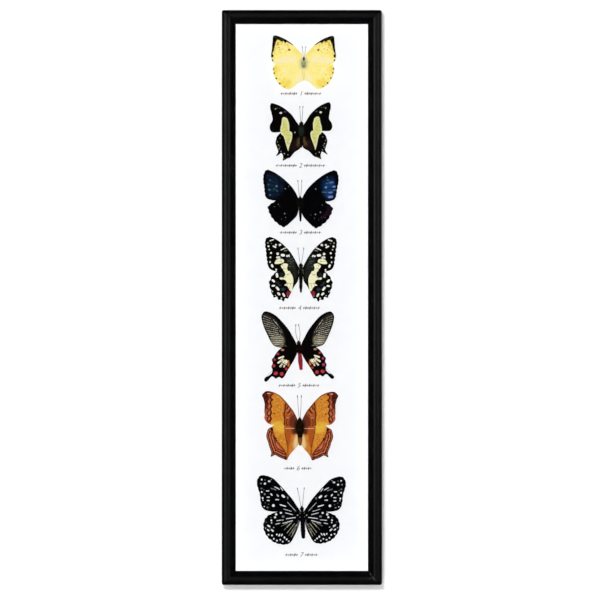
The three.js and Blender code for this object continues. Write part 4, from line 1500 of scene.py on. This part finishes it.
ROSE = {
    "name": "rose",
    "tuck": 1.0,
    "feeler": 0x1A1815,
    "x": -2.7,
    "z": -49.5,
    "lean": -5,
    "left": (-1.2, 1.02),
    "right": (1.2, 0.98),
    "body": [(5.6, 0.9), (4.2, 1.8), (3, 1.8), (1, 2.7), (-3.5, 2.6), (-6.5, 1.8), (-14, 2.3),
             (-22.5, 1.6)],
    "antenna": (1.4, 22, 1.4),
    "forewing": [
        (3, 1.5), (6.2, 10.5), (10.2, 17.5), (16, 24.8), (22, 31), (28.5, 34.8), (33.2, 35.4),
        (36.2, 31.5), (35.8, 26), (33.5, 18.5), (30.8, 12.5), (28, 6.5), (24.8, 2), (19.5, 0),
        (12, -0.6), (3.2, -1.4),
    ],
    "hindwing": [
        (2.9, 0.6), (9, 3), (14, 1.5), (18, -1), (21, -3.6), (23.6, -7), (25, -9.4), (27, -11.8),
        (26.2, -15.2), (27.6, -18.6), (26.6, -22), (27.4, -25), (30.2, -27.4), (33.8, -29.2),
        (35, -31.6), (33.6, -33.4), (31.2, -32), (29.2, -29.6), (27, -28.2), (25.4, -29),
        (23.6, -30.5), (20.6, -29), (17.4, -30.4), (15, -28.4), (12.6, -24), (9, -18.4),
        (5, -12), (2.9, -5),
    ],
    "ground": (0x050404, 0x0B0A09),
    "hair": (0x070505, 0x160D0C),
    "vein": (0x0A0807, 0.45, 0.9),
    "layers": [
        ("smoke", (0x3A352E, 0x1C1917), 3.0, 2.6, 0.8),
        ("olive", (0x837D62, 0x5A5544), 3.0, 2.0, 0.6),
        ("ray", (0xF6F0DE, 0x8A8474), 0.4, 0.75, 0.05),
        ("tan", (0xC08A74, 0xA8705F), 0.6, 0.4, 0),
        ("cream", (0xFBF4DA, 0xEFE3C0), 0.4, 0.4, 0),
        ("pink", (0xC8424A, 0x9E2E38), 0.8, 0.9, 0.12),
        ("orange", (0xE08A3C, 0xC65A34), 1.4, 0.8, 0),
        ("plum", (0xB4406A, 0x9C3258), 0.5, 0.4, 0),
    ],
    "body_layers": [
        ("crimson", (0xA82E38, 0x7A1E28), 0.8, 1.6, 0.2),
        ("plum", (0x3A1416, 0x54201F), 0.8, 0.6, 0),
    ],
    "marks": {
        "forewing": {
            "smoke": [
                [(34.8, 33), (31.3, 33.8), (27.3, 31.6), (22.3, 28), (18.3, 22), (15, 16),
                 (13.6, 8), (15.5, 2.6), (22, 1), (26, 4.5), (28.2, 9), (31, 15.5), (34, 22.5),
                 (35.6, 28.5)],
            ],
            "olive": [[(14.6, 2), (14.6, 10), (19, 12), (25, 11.5), (28, 9), (26, 3), (20, 0.6)]],
            "ray": [
                (34.6, 31.4, 27.5, 28.4, 0.19), (35, 29, 25.8, 25.8, 0.21),
                (34.9, 26.6, 23.6, 23, 0.24), (34.3, 24.2, 21.6, 20.6, 0.27),
                (33.5, 21.8, 20.8, 18.4, 0.28), (32.6, 19.4, 20, 16.2, 0.28),
                (31.7, 17, 19.3, 14.1, 0.31), (30.7, 14.6, 17.8, 12.1, 0.31),
                (29.6, 12.2, 16.4, 10.4, 0.32), (28.5, 9.8, 15.6, 8.6, 0.34),
                (27.3, 7.4, 15.4, 6.7, 0.35), (25.8, 5, 15.4, 5, 0.35),
                (24, 3, 15.6, 3.3, 0.34), (24.6, 27.6, 22.6, 24.4, 0.24),
                (22.4, 24.6, 20.4, 21.4, 0.26), (20.4, 22, 18.2, 18.2, 0.24),
                (21.2, 19.4, 19.4, 17, 0.27), (19.4, 16.8, 17.2, 14.4, 0.26),
                (17.6, 17.6, 15.6, 14.2, 0.2), (12.4, 1.2, 21.5, 1, 0.19),
            ],
        },
        "hindwing": {
            "tan": [(16.4, -2.5, 1.6, 1.0)],
            "pink": [
                (21, -6.4, 1.35), (23.5, -25.3, 2.3, 1.9), (17.6, -26, 1.9, 2.0),
                (13.2, -21.2, 1.5), (10.6, -18.6, 1.0),
            ],
            "cream": [
                (20.2, -10.6, 15.7, -9.1, 0.8), (20.8, -14.9, 16.4, -11.8, 0.95),
                (18.9, -18.6, 14.8, -12.6, 0.95), (15.4, -18.9, 12.8, -13, 0.8),
                (13.2, -16.8, 11.2, -13.4, 0.55),
            ],
            "orange": [(10.8, -16.4, 1.2, 2.6)],
        },
        "hindwing_left": {"pink": [(24.3, -11.8, 1.35), (25.1, -17.9, 1.5, 1.6)]},
        "hindwing_right": {"plum": [(24.1, -12.1, 1.35), (24.5, -18.5, 1.5, 1.6)]},
        "body": {
            "crimson": [[(0, -6.5), (3, -6.5), (3, -24), (0, -24)]],
            "plum": [(0.4, 4.6, 1.5, 1.0), (2, -2, 0.5)],
        },
    },
}

CRUISER = {
    "name": "cruiser",
    "tuck": 1.9,
    "feeler": 0x2A211A,
    "scallops": {"forewing": (0.3, 6), "hindwing": (0.4, 6)},
    "x": -2,
    "z": -126.5,
    "lean": -1,
    "left": (0.6, 1),
    "right": (-0.6, 1),
    "body": [(6, 0.8), (4.6, 1.7), (3, 2.4), (0, 3.9), (-6, 3.8), (-10, 2.6), (-15, 2.4), (-21, 1.3)],
    "antenna": (2, 28, 0.4),
    "forewing": [
        (3.6, 2), (5.9, 11.5), (9.6, 16.6), (14.6, 22.6), (21, 28.8), (27.8, 31.8), (33.5, 32.5),
        (36.6, 30.8), (38, 28.4), (36.4, 24.2), (35.3, 18.5), (35.6, 13.5), (35.2, 9.5),
        (35.5, 5.8), (33.8, 2.2), (30.5, -0.3), (26.5, -1), (15, -1.6), (3.8, -2),
    ],
    "hindwing": [
        (3.8, -1), (14, 2), (23, 0.5), (28.3, -3.2), (31.8, -5.8), (33.3, -10.5), (32.8, -15),
        (31, -20.5), (29.2, -26), (28.2, -29.4), (28.6, -32.8), (24.6, -31.4), (20.6, -33),
        (17, -34.8), (12.8, -36), (11.2, -33), (7.5, -28), (4.2, -24.4), (3, -19), (3.2, -12),
        (3.9, -6),
    ],
    "ground": (0xC47128, 0xCC7C2C),
    "hair": (0x0E0805, 0x20140B),
    "fuzz": (0x1C100A, 0x3E2112),
    "fuzz_reach": 3.4,
    "vein": (0x9A4E1C, 0.35, 0.35),
    "layers": [
        ("yellow", (0xF4D04E, 0xE0A838), 6.5, 6.5, 1.2),
        ("fleck", (0xEEBC48, 0xD08A2C), 0.9, 5.4, 4.3),
        ("rust", (0xB45A26, 0xA04E20), 1.6, 1.5, 0.2),
        ("umber", (0x5C2A1E, 0x6E331F), 3.0, 1.5, 0.5),
        ("border", (0xCE6845, 0xAA4C30), 1.0, 1.0, 0),
        ("maroon", (0x5E2219, 0x481812), 4.0, 2.0, 0.8),
        ("tan", (0xEBD9A8, 0xDDB868), 3.6, 2.0, 0.8),
        ("blush", (0xE29468, 0xBE6040), 1.0, 1.4, 0),
        ("line", (0x240B07, 0x44160D), 0.6, 1.5, 0),
        ("black", (0x170A06, 0x2A120A), 0.5, 0.6, 0),
        ("pale", (0xEBC6A4, 0xDDB08C), 0.4, 0.3, 0),
    ],
    "body_layers": [("rust", (0x6E3C1A, 0x925828), 2.0, 0.8, 0)],
    "marks": {
        "forewing": {
            "yellow": [[(15.5, 2.5), (20, 3.6), (28, 2.4), (31, 0), (31, -3), (15, -3)]],
            "fleck": [
                [(13.5, 24), (20, 31), (29, 31), (32, 16), (32, -2), (12, -4), (13.5, 10)],
            ],
            "rust": [
                [(3, 0), (5, 12), (10, 18), (15, 23.5), (15.2, 19), (16, 12), (15.6, 6),
                 (15.4, -3), (3, -3)],
            ],
            "umber": [[(3, -3), (11, -2.5), (11, 5), (8, 9.5), (3, 10)]],
            "border": [
                [(29.4, 27), (29.4, 20), (29.4, 12), (29.4, 4), (29.5, -2), (40, -2), (40, 34),
                 (33, 36), (24, 33), (27.5, 30)],
            ],
            "maroon": [[(28, 33), (30, 28), (31, 20), (33.5, 14), (34, 8), (42, 8), (42, 36),
                        (30, 38)]],
            "blush": [
                (0.45, [(34.4, 12), (34, 7), (32.6, 3)]), (30.8, 12, 30.7, 4, 0.35),
                (31.4, 23, 30.8, 17, 0.35), (11.4, 16, 13.4, 13, 0.8), (10, 9.6, 12.6, 6, 0.8),
            ],
            "line": [
                (0.72, [(27.6, 30), (29.9, 27), (28.5, 24), (29.9, 21), (28.6, 17.6), (30, 14.6),
                        (28.7, 11.2), (30, 8), (28.8, 5), (30.2, 2.2)]),
                (0.55, [(33.8, 28), (31.6, 25.4), (33.5, 22.4), (31.6, 19.4), (33.3, 16.4),
                        (31.4, 13.4), (33.2, 10.4), (31.4, 7.4), (32.9, 4.4), (31.2, 1.6)]),
                (0.6, [(13.6, 21.8), (15, 18), (14.8, 14.5), (16, 10), (15.2, 5), (15.6, 0),
                        (15.2, -3)]),
                (0.45, [(12.6, 5), (13.4, 1), (12.4, -2)]),
                ("rim", 0.2, 0.55, (4, 8, 40, 34)),
            ],
            "black": [
                (0.55, [(9.2, 14.6), (10.4, 12.8), (12.2, 10.8)]),
                (0.5, [(11.6, 17.8), (13.2, 14.2)]), (0.4, [(8.6, 10), (10.8, 8), (12.4, 7.6)]),
                (27.3, 24, 0.75), (25.9, 10.2, 0.8), (21.8, 25, 0.5), (25.6, 17, 0.4),
                (30, 3.4, 0.9), (34.6, 26, 0.9), (34, 19.6, 0.6), (33.6, 6.4, 0.6),
            ],
            "pale": [(31.6, 30.3, 1.3, 0.5)],
        },
        "forewing_right": {"pale": [(29, 15.6, 26.8, 15.4, 0.3)]},
        "hindwing": {
            "yellow": [[(15, 3), (28, 1), (27, -5), (23, -9), (15, -10)]],
            "fleck": [
                [(11, 0), (30, 0), (28, -14), (20, -24), (11, -34), (10, -20)],
                [(5, -20), (11, -21), (12, -34), (6, -30)],
            ],
            "rust": [
                [(3, 1), (15, 2), (15, -6), (13.8, -15), (12, -22), (11.4, -24), (9.6, -19),
                 (7.6, -10), (3, -8)],
            ],
            "umber": [[(3, 1), (8, -1), (8.6, -7), (7, -11), (3, -10)]],
            "border": [
                [(28.6, -2), (27, -8), (24.4, -14.5), (20.5, -20.5), (16.5, -25.5), (13.5, -29.5),
                 (12, -38), (40, -38), (40, 0)],
            ],
            "maroon": [[(28, -24), (24, -28), (18, -30), (13, -33), (12, -38), (32, -36), (32, -28)]],
            "blush": [
                ("rim", 3.3, 0.6, (15, -40, 40, -6)), ("rim", 1.2, 0.35, (15, -40, 40, -6)),
                (27.4, -13, 25.6, -18, 0.7),
                (24, -20, 20.6, -24.4, 0.65), (31, -9, 30.6, -15, 0.4),
            ],
            "tan": [[(1.5, -9), (4.4, -10.5), (6.4, -16), (7, -22), (5, -26), (2, -24)]],
            "line": [
                (0.35, [(15.3, -3), (14.9, -8), (13.6, -15), (12, -22), (11.6, -30), (11.2, -34)]),
                ("rim", 0.3, 0.6, (12, -40, 40, -4)),
                ("rim", 2.2, 0.62, (13, -40, 40, -7)),
                ("rim", 4.5, 0.6, (14, -40, 40, -8)),
                ("rim", 6.7, 0.5, (16, -40, 40, -12)),
                (0.5, [(28, -4), (26.4, -10), (23.6, -16), (19.6, -21.5), (15.6, -26.5),
                        (13, -31)]),
            ],
            "black": [
                (28, -5.6, 1.3, 1.8), (24.2, -14.7, 1.15), (15.6, -26.4, 0.7), (29, -8, 0.7),
                (28.2, -30.2, 0.6),
            ],
            "pale": [(3.9, -4.5, 14.4, -4.3, 0.3)],
        },
        "body": {"rust": [[(0, -14), (3, -14), (3, -24), (0, -24)]]},
    },
}

TIGER = {
    "name": "tiger",
    "tuck": 1.2,
    "feeler": 0x16161A,
    "scallops": {"forewing": (0.4, 8), "hindwing": (0.65, 11)},
    "x": 0.3,
    "z": -216.5,
    "lean": -3,
    "left": (0, 1.02),
    "right": (0, 0.985),
    "body": [(7.2, 0.9), (5.6, 1.8), (3.8, 1.6), (1.5, 2.6), (-4, 2.7), (-8, 2.1), (-16, 2.4),
             (-24, 1.8)],
    "antenna": (3.5, 25.5, 0.2),
    "forewing": [
        (3.1, 2.4), (5.6, 8.4), (10, 15), (15.8, 21.8), (22.2, 28.8), (28.7, 35), (35.2, 37.6),
        (40, 38), (43.2, 35.4), (44.4, 30.5), (43.4, 25.6), (41.5, 19.5), (40.9, 13.5),
        (39.4, 7.2), (36.2, 4), (30, 2.6), (23, 2.2), (12, 1.2), (3.3, -0.6),
    ],
    "hindwing": [
        (3.4, 1), (14, 4), (23, 2.4), (29.6, 0.4), (34.2, -2.2), (37.3, -7), (38, -13),
        (36, -19), (32.6, -23.8), (27.8, -27.4), (22, -29.4), (15.6, -29.8), (11.2, -27.6),
        (8.2, -22.6), (5.2, -16.4), (3.7, -8),
    ],
    "ground": (0x030304, 0x070708),
    "hair": (0x040405, 0x0E0E10),
    "vein": (0x08080A, 0.3, 0.7),
    "layers": [
        ("grey", (0x8F969B, 0x757B80), 0.5, 0.4, 0),
        ("buff", (0xDAD6C2, 0xA8A490), 0.35, 0.3, 0),
        ("white", (0xF4F7F9, 0xDFE3E6), 0.35, 0.3, 0),
    ],
    "body_layers": [("white", (0xC8CCCE, 0xE2E5E6), 0.4, 0.3, 0)],
    "marks": {
        "forewing": {
            "white": [
                (39.6, 33.8, 0.83), (36.5, 29.8, 1.06), (32.3, 32.2, 1.29, 0.83),
                (27, 26.8, 22.2, 24.3, 0.4), (21, 26, 19, 23.2, 0.43), (35, 22.7, 32.6, 22.8, 0.49),
                (39.6, 21.7, 0.87), (30.6, 19.8, 29.6, 18.6, 0.6), (24.7, 18.9, 23.4, 17.6, 0.55),
                (19.3, 18.3, 17.8, 16.9, 1.0),
                (34.4, 16.6, 32.2, 16.7, 0.46), (38.8, 15.8, 0.78, 1.01), (38.4, 13.6, 0.55),
                (34.3, 13.4, 32.2, 13.3, 0.46), (25.8, 14.2, 23.2, 14.1, 0.49), (28.2, 8.4, 1.33),
                (37.2, 7.4, 0.6), (21.8, 9.2, 16.2, 7.6, 0.5), (14.6, 11.8, 6.3, 2.9, 0.22),
                (18, 4.9, 10.6, 2.7, 0.26),
            ],
            "grey": [
                (40.5, 30, 0.78), (30.2, 34, 0.64), (40, 25.2, 0.92, 0.55),
                (30.5, 25.4, 25.6, 23.7, 0.43),
                (36.8, 19.6, 0.92), (14.3, 15.8, 0.74, 1.38), (34, 6.5, 1.01, 0.64), (37.5, 24, 0.46),
                (36.2, 11, 0.46), (36.5, 33.5, 0.55), (33, 9.6, 0.46),
            ],
        },
        "hindwing": {
            "white": [
                (16.6, 1.2, 9.4, -0.6, 0.32), (20.8, 1.3, 1.06), (25.5, -0.3, 1.15),
                (26.6, -3.2, 0.97), (15.6, -4.6, 6.5, -3.4, 0.36), (25, -6.4, 18.4, -5.7, 0.34),
                (19, -9.2, 9.4, -6.5, 0.36), (26, -9.9, 21.8, -9, 0.32), (30.3, -6.2, 0.87),
                (30, -8.6, 0.64), (33.6, -11.2, 32, -12.2, 0.75), (36, -13.8, 0.5),
                (28, -13.2, 0.5), (34, -15.2, 32.8, -16.2, 0.6), (30, -15.4, 28.6, -16.6, 0.75),
                (24.9, -20, 0.83),
                (22.9, -21.4, 22, -20, 0.6), (20.2, -21.2, 19.4, -19.8, 0.6), (29.6, -21, 0.87),
                (33, -20.2, 0.78),
                (17.4, -23, 0.78, 1.1), (15.2, -24.8, 0.87), (27.8, -24.2, 0.83),
                (24.8, -26, 0.83), (21.5, -25.2, 0.78), (19, -27, 0.74), (13.2, -26.6, 0.74),
            ],
            "buff": [
                (15, -13, 10.2, -8.2, 0.24), (15, -18.8, 7.6, -9.4, 0.26),
                (12.9, -21, 5.5, -10, 0.22), (4.4, -1, 0.8), (11, -22.6, 4.6, -12.4, 0.18),
                (17.6, -15.6, 12, -9.4, 0.2), (20.6, -12, 14.4, -9, 0.2),
                (9.4, -19, 4.6, -9.6, 0.16),
            ],
            "grey": [
                (18.6, -2.4, 1.38, 1.01), (3.6, -6, 4.2, -12, 0.32), (35.2, -8, 0.46),
                (31.6, -13.6, 0.46),
                (30.5, -3.4, 0.46),
            ],
        },
        "body": {
            "white": [
                (1.2, 6.6, 0.37), (1.9, 4.6, 0.32), (1.4, 2.6, 0.32), (2.2, 0.8, 0.37),
                (2.4, -3, 0.37), (2, -9, 0.28), (2, -12, 0.28),
                (2, -15, 0.28), (2, -18, 0.28),
            ],
        },
    },
}


class ButterflyMaker:
    """Shared execute of the butterfly operators."""

    bl_options = {"REGISTER", "UNDO"}

    def execute(self, context):
        make_butterfly(self.specimen, context.scene.specimen_wings)
        return {"FINISHED"}


class SPECIMEN_OT_lemon(ButterflyMaker, bpy.types.Operator):
    """Make the yellow butterfly."""

    bl_idname = "specimen.lemon"
    bl_label = "Yellow butterfly"
    specimen = LEMON


class SPECIMEN_OT_nawab(ButterflyMaker, bpy.types.Operator):
    """Make the black butterfly with a green band."""

    bl_idname = "specimen.nawab"
    bl_label = "Green-banded butterfly"
    specimen = NAWAB


class SPECIMEN_OT_eggfly(ButterflyMaker, bpy.types.Operator):
    """Make the black and blue butterfly."""

    bl_idname = "specimen.eggfly"
    bl_label = "Blue-black butterfly"
    specimen = EGGFLY


class SPECIMEN_OT_lime(ButterflyMaker, bpy.types.Operator):
    """Make the black and cream chequered butterfly."""

    bl_idname = "specimen.lime"
    bl_label = "Chequered butterfly"
    specimen = LIME


class SPECIMEN_OT_rose(ButterflyMaker, bpy.types.Operator):
    """Make the tailed grey and red butterfly."""

    bl_idname = "specimen.rose"
    bl_label = "Tailed grey and red butterfly"
    specimen = ROSE


class SPECIMEN_OT_cruiser(ButterflyMaker, bpy.types.Operator):
    """Make the orange butterfly."""

    bl_idname = "specimen.cruiser"
    bl_label = "Orange butterfly"
    specimen = CRUISER


class SPECIMEN_OT_tiger(ButterflyMaker, bpy.types.Operator):
    """Make the black butterfly with white streaks."""

    bl_idname = "specimen.tiger"
    bl_label = "White-streaked butterfly"
    specimen = TIGER


# ---- Stage ---------------------------------------------------------------------------------

AIM = (-1.85, -282.0)  # x and height of the middle of the view
SENSOR_WIDTH = 36.0
WALL_GAP = 3.0  # from the back of the rails to the wall, over the hanger
FLOOR_DROP = 450.0  # from the bottom of the frame to the floor
WALL_HALF_WIDTH = 6.0
WALL_HEIGHT = 6.0
FLOOR_REACH = 9.0


def stage_sheet(name, corners, material):
    """A flat backdrop with its corners in metres, anticlockwise seen from its face."""
    mesh = bpy.data.meshes.new(name)
    mesh.from_pydata(corners, [], [tuple(range(len(corners)))])
    mesh.materials.append(material)
    made = bpy.data.objects.new(name, mesh)
    bpy.context.scene.collection.objects.link(made)
    return made


def backdrop_material(name, see_through):
    """Matt white paint; a wall can be seen through from behind."""
    made = Recipe(name)
    mottle = made.ramp(made.grain(300, 3), 0.3, 0.7)
    tint = made.mix(mottle, shade(0xFDFDFD), shade(0xFAFAFA))
    made.set(Base_Color=tint, Roughness=0.9, Specular_IOR_Level=0.0)
    if see_through:
        tree = made.tree
        clear = made.add("ShaderNodeBsdfTransparent")
        facing = made.add("ShaderNodeNewGeometry").outputs["Backfacing"]
        both = made.add("ShaderNodeMixShader")
        tree.links.new(facing, both.inputs[0])
        tree.links.new(made.shader.outputs[0], both.inputs[1])
        tree.links.new(clear.outputs[0], both.inputs[2])
        tree.links.new(both.outputs[0], tree.nodes["Material Output"].inputs["Surface"])
    return made.material


def area_lamp(name, place, aim, size, power):
    """A square lamp turned to a point, with places in metres."""
    data = bpy.data.lights.new(name, "AREA")
    data.shape = "SQUARE"
    data.size = size
    data.energy = power
    made = bpy.data.objects.new(name, data)
    made.visible_glossy = False
    made.visible_transmission = False
    made.location = place
    made.rotation_euler = (Vector(aim) - Vector(place)).to_track_quat("-Z", "Y").to_euler()
    bpy.context.scene.collection.objects.link(made)
    return made


def light_only(lamp, objects, state="INCLUDE"):
    """Lets a lamp light only some objects, or all but them."""
    group = bpy.data.collections.new("lit_by_" + lamp.name)
    for thing in objects:
        group.objects.link(thing)
    for entry in group.collection_objects:
        entry.light_linking.link_state = state
    lamp.light_linking.receiver_collection = group


def soft_world(strength):
    """Even white light that mirrors don't show, so the glass stays clear and blacks stay deep."""
    world = bpy.data.worlds.new("studio")
    world.use_nodes = True
    tree = world.node_tree
    ground = tree.nodes["Background"]
    path = tree.nodes.new("ShaderNodeLightPath")
    seen = tree.nodes.new("ShaderNodeMix")
    seen.data_type = "FLOAT"
    seen.inputs[2].default_value = strength
    seen.inputs[3].default_value = 1.0
    tree.links.new(path.outputs["Is Camera Ray"], seen.inputs[0])
    tree.links.new(seen.outputs[0], ground.inputs["Strength"])
    ground.inputs["Color"].default_value = (1, 1, 1, 1)
    world.cycles_visibility.glossy = False
    world.cycles_visibility.transmission = False
    bpy.context.scene.world = world


def add_camera(settings):
    """A long lens square to the glass."""
    data = bpy.data.cameras.new("camera")
    distance = settings.camera_distance
    data.sensor_width = SENSOR_WIDTH
    data.lens = SENSOR_WIDTH * distance / settings.field_width
    data.clip_end = 100
    camera = bpy.data.objects.new("camera", data)
    camera.location = (AIM[0] * MM, FRAME_FRONT * MM - distance, AIM[1] * MM)
    camera.rotation_euler = (math.pi / 2, 0, 0)
    scene = bpy.context.scene
    scene.collection.objects.link(camera)
    scene.camera = camera
    scene.view_settings.view_transform = "Standard"


def add_backdrop():
    """The wall, just behind the frame, and the floor; only the wall is returned."""
    y = WALL_GAP * MM
    low = (FRAME_BOTTOM - FLOOR_DROP) * MM
    high, half, reach = low + WALL_HEIGHT, WALL_HALF_WIDTH, FLOOR_REACH
    corners = [(-half, y, low), (half, y, low), (half, y, high), (-half, y, high)]
    wall = stage_sheet("wall", corners, backdrop_material("wall_paint", True))
    wall.visible_diffuse = False
    wall.visible_glossy = False
    wall.visible_shadow = False
    corners = [(-reach, -reach, low), (reach, -reach, low), (reach, reach, low), (-reach, reach, low)]
    floor = stage_sheet("floor", corners, backdrop_material("floor_paint", False))
    floor.visible_glossy = False
    floor.visible_transmission = False
    return wall


class SPECIMEN_OT_stage(bpy.types.Operator):
    """Set up the camera, wall, floor and lamps."""

    bl_idname = "specimen.stage"
    bl_label = "Stage"

    def execute(self, context):
        settings = context.scene.specimen_stage
        add_camera(settings)
        walls = [add_backdrop()]
        rails = [o for o in context.scene.objects if o.name.startswith("moulding_")]
        steel = [o for n, o in frame["nodes"].items() if n.startswith(STEEL_NODES)]
        level = FRAME_CENTRE * MM
        sheen, rim = settings.sheen_power, settings.rim_power
        for name, place, size, power, lit in (
            ("key", (-0.9, -2.4, 0.75), 1.6, settings.key_power, None),
            ("copy_light", (0, -6.0, level), 0.5, settings.copy_power, None),
            ("back_fill", (0.6, 2.6, 0.6), 1.6, 60, None),
            ("wall_wash", (-0.25, -2.45, 0.16), 0.34, 37, walls),
            ("wall_fill", (0, -6.0, level), 0.5, 57, walls),
            ("rail_sheen", (-1.5, -3.2, 0.1), 1.4, sheen, rails),
            ("front_glow", (1.5, -3.2, 0.1), 1.2, 0.56 * sheen, rails),
            ("rim_left", (-3.2, 1.3, 0.5), 1.6, 0.75 * rim, rails),
            ("rim_right", (3.2, 1.3, 0.5), 1.6, rim, rails),
            ("back_rails", (1.9, 2.1, 0.7), 2.0, 2 * rim, rails),
            ("back_steel", (1.9, 2.1, 0.7), 2.0, 5 * rim, steel),
        ):
            lamp = area_lamp(name, place, (0, -0.01, level), size, power)
            lamp.visible_glossy = lit in (rails, steel)
            if name == "copy_light":
                light_only(lamp, walls, "EXCLUDE")
            elif lit:
                light_only(lamp, lit)
        soft_world(settings.daylight)
        return {"FINISHED"}


# ---- Panel and registration ----------------------------------------------------------------

OPERATORS = (
    SPECIMEN_OT_frame,
    SPECIMEN_OT_glazing,
    SPECIMEN_OT_card,
    SPECIMEN_OT_backing,
    SPECIMEN_OT_lemon,
    SPECIMEN_OT_nawab,
    SPECIMEN_OT_eggfly,
    SPECIMEN_OT_lime,
    SPECIMEN_OT_rose,
    SPECIMEN_OT_cruiser,
    SPECIMEN_OT_tiger,
    SPECIMEN_OT_stage,
)
SETTINGS = {
    "specimen_frame": FrameSettings,
    "specimen_card": CardSettings,
    "specimen_wings": WingSettings,
    "specimen_stage": StageSettings,
}


class SPECIMEN_PT_panel(bpy.types.Panel):
    """Settings and buttons for the framed specimen."""

    bl_idname = "SPECIMEN_PT_panel"
    bl_label = "Framed specimen"
    bl_space_type = "VIEW_3D"
    bl_region_type = "UI"
    bl_category = "Specimen"

    def draw(self, context):
        for key, group in SETTINGS.items():
            box = self.layout.box()
            for name in group.__annotations__:
                box.prop(getattr(context.scene, key), name)
        for operator in OPERATORS:
            self.layout.operator(operator.bl_idname)


def register():
    for group in SETTINGS.values():
        bpy.utils.register_class(group)
    for key, group in SETTINGS.items():
        setattr(bpy.types.Scene, key, PointerProperty(type=group))
    for operator in OPERATORS:
        bpy.utils.register_class(operator)
    bpy.utils.register_class(SPECIMEN_PT_panel)


def unregister():
    bpy.utils.unregister_class(SPECIMEN_PT_panel)
    for operator in reversed(OPERATORS):
        bpy.utils.unregister_class(operator)
    for key, group in SETTINGS.items():
        delattr(bpy.types.Scene, key)
        bpy.utils.unregister_class(group)


def main():
    """Builds everything in order."""
    register()
    for operator in OPERATORS:
        group, action = operator.bl_idname.split(".")
        getattr(getattr(bpy.ops, group), action)()


if __name__ == "__main__":
    main()
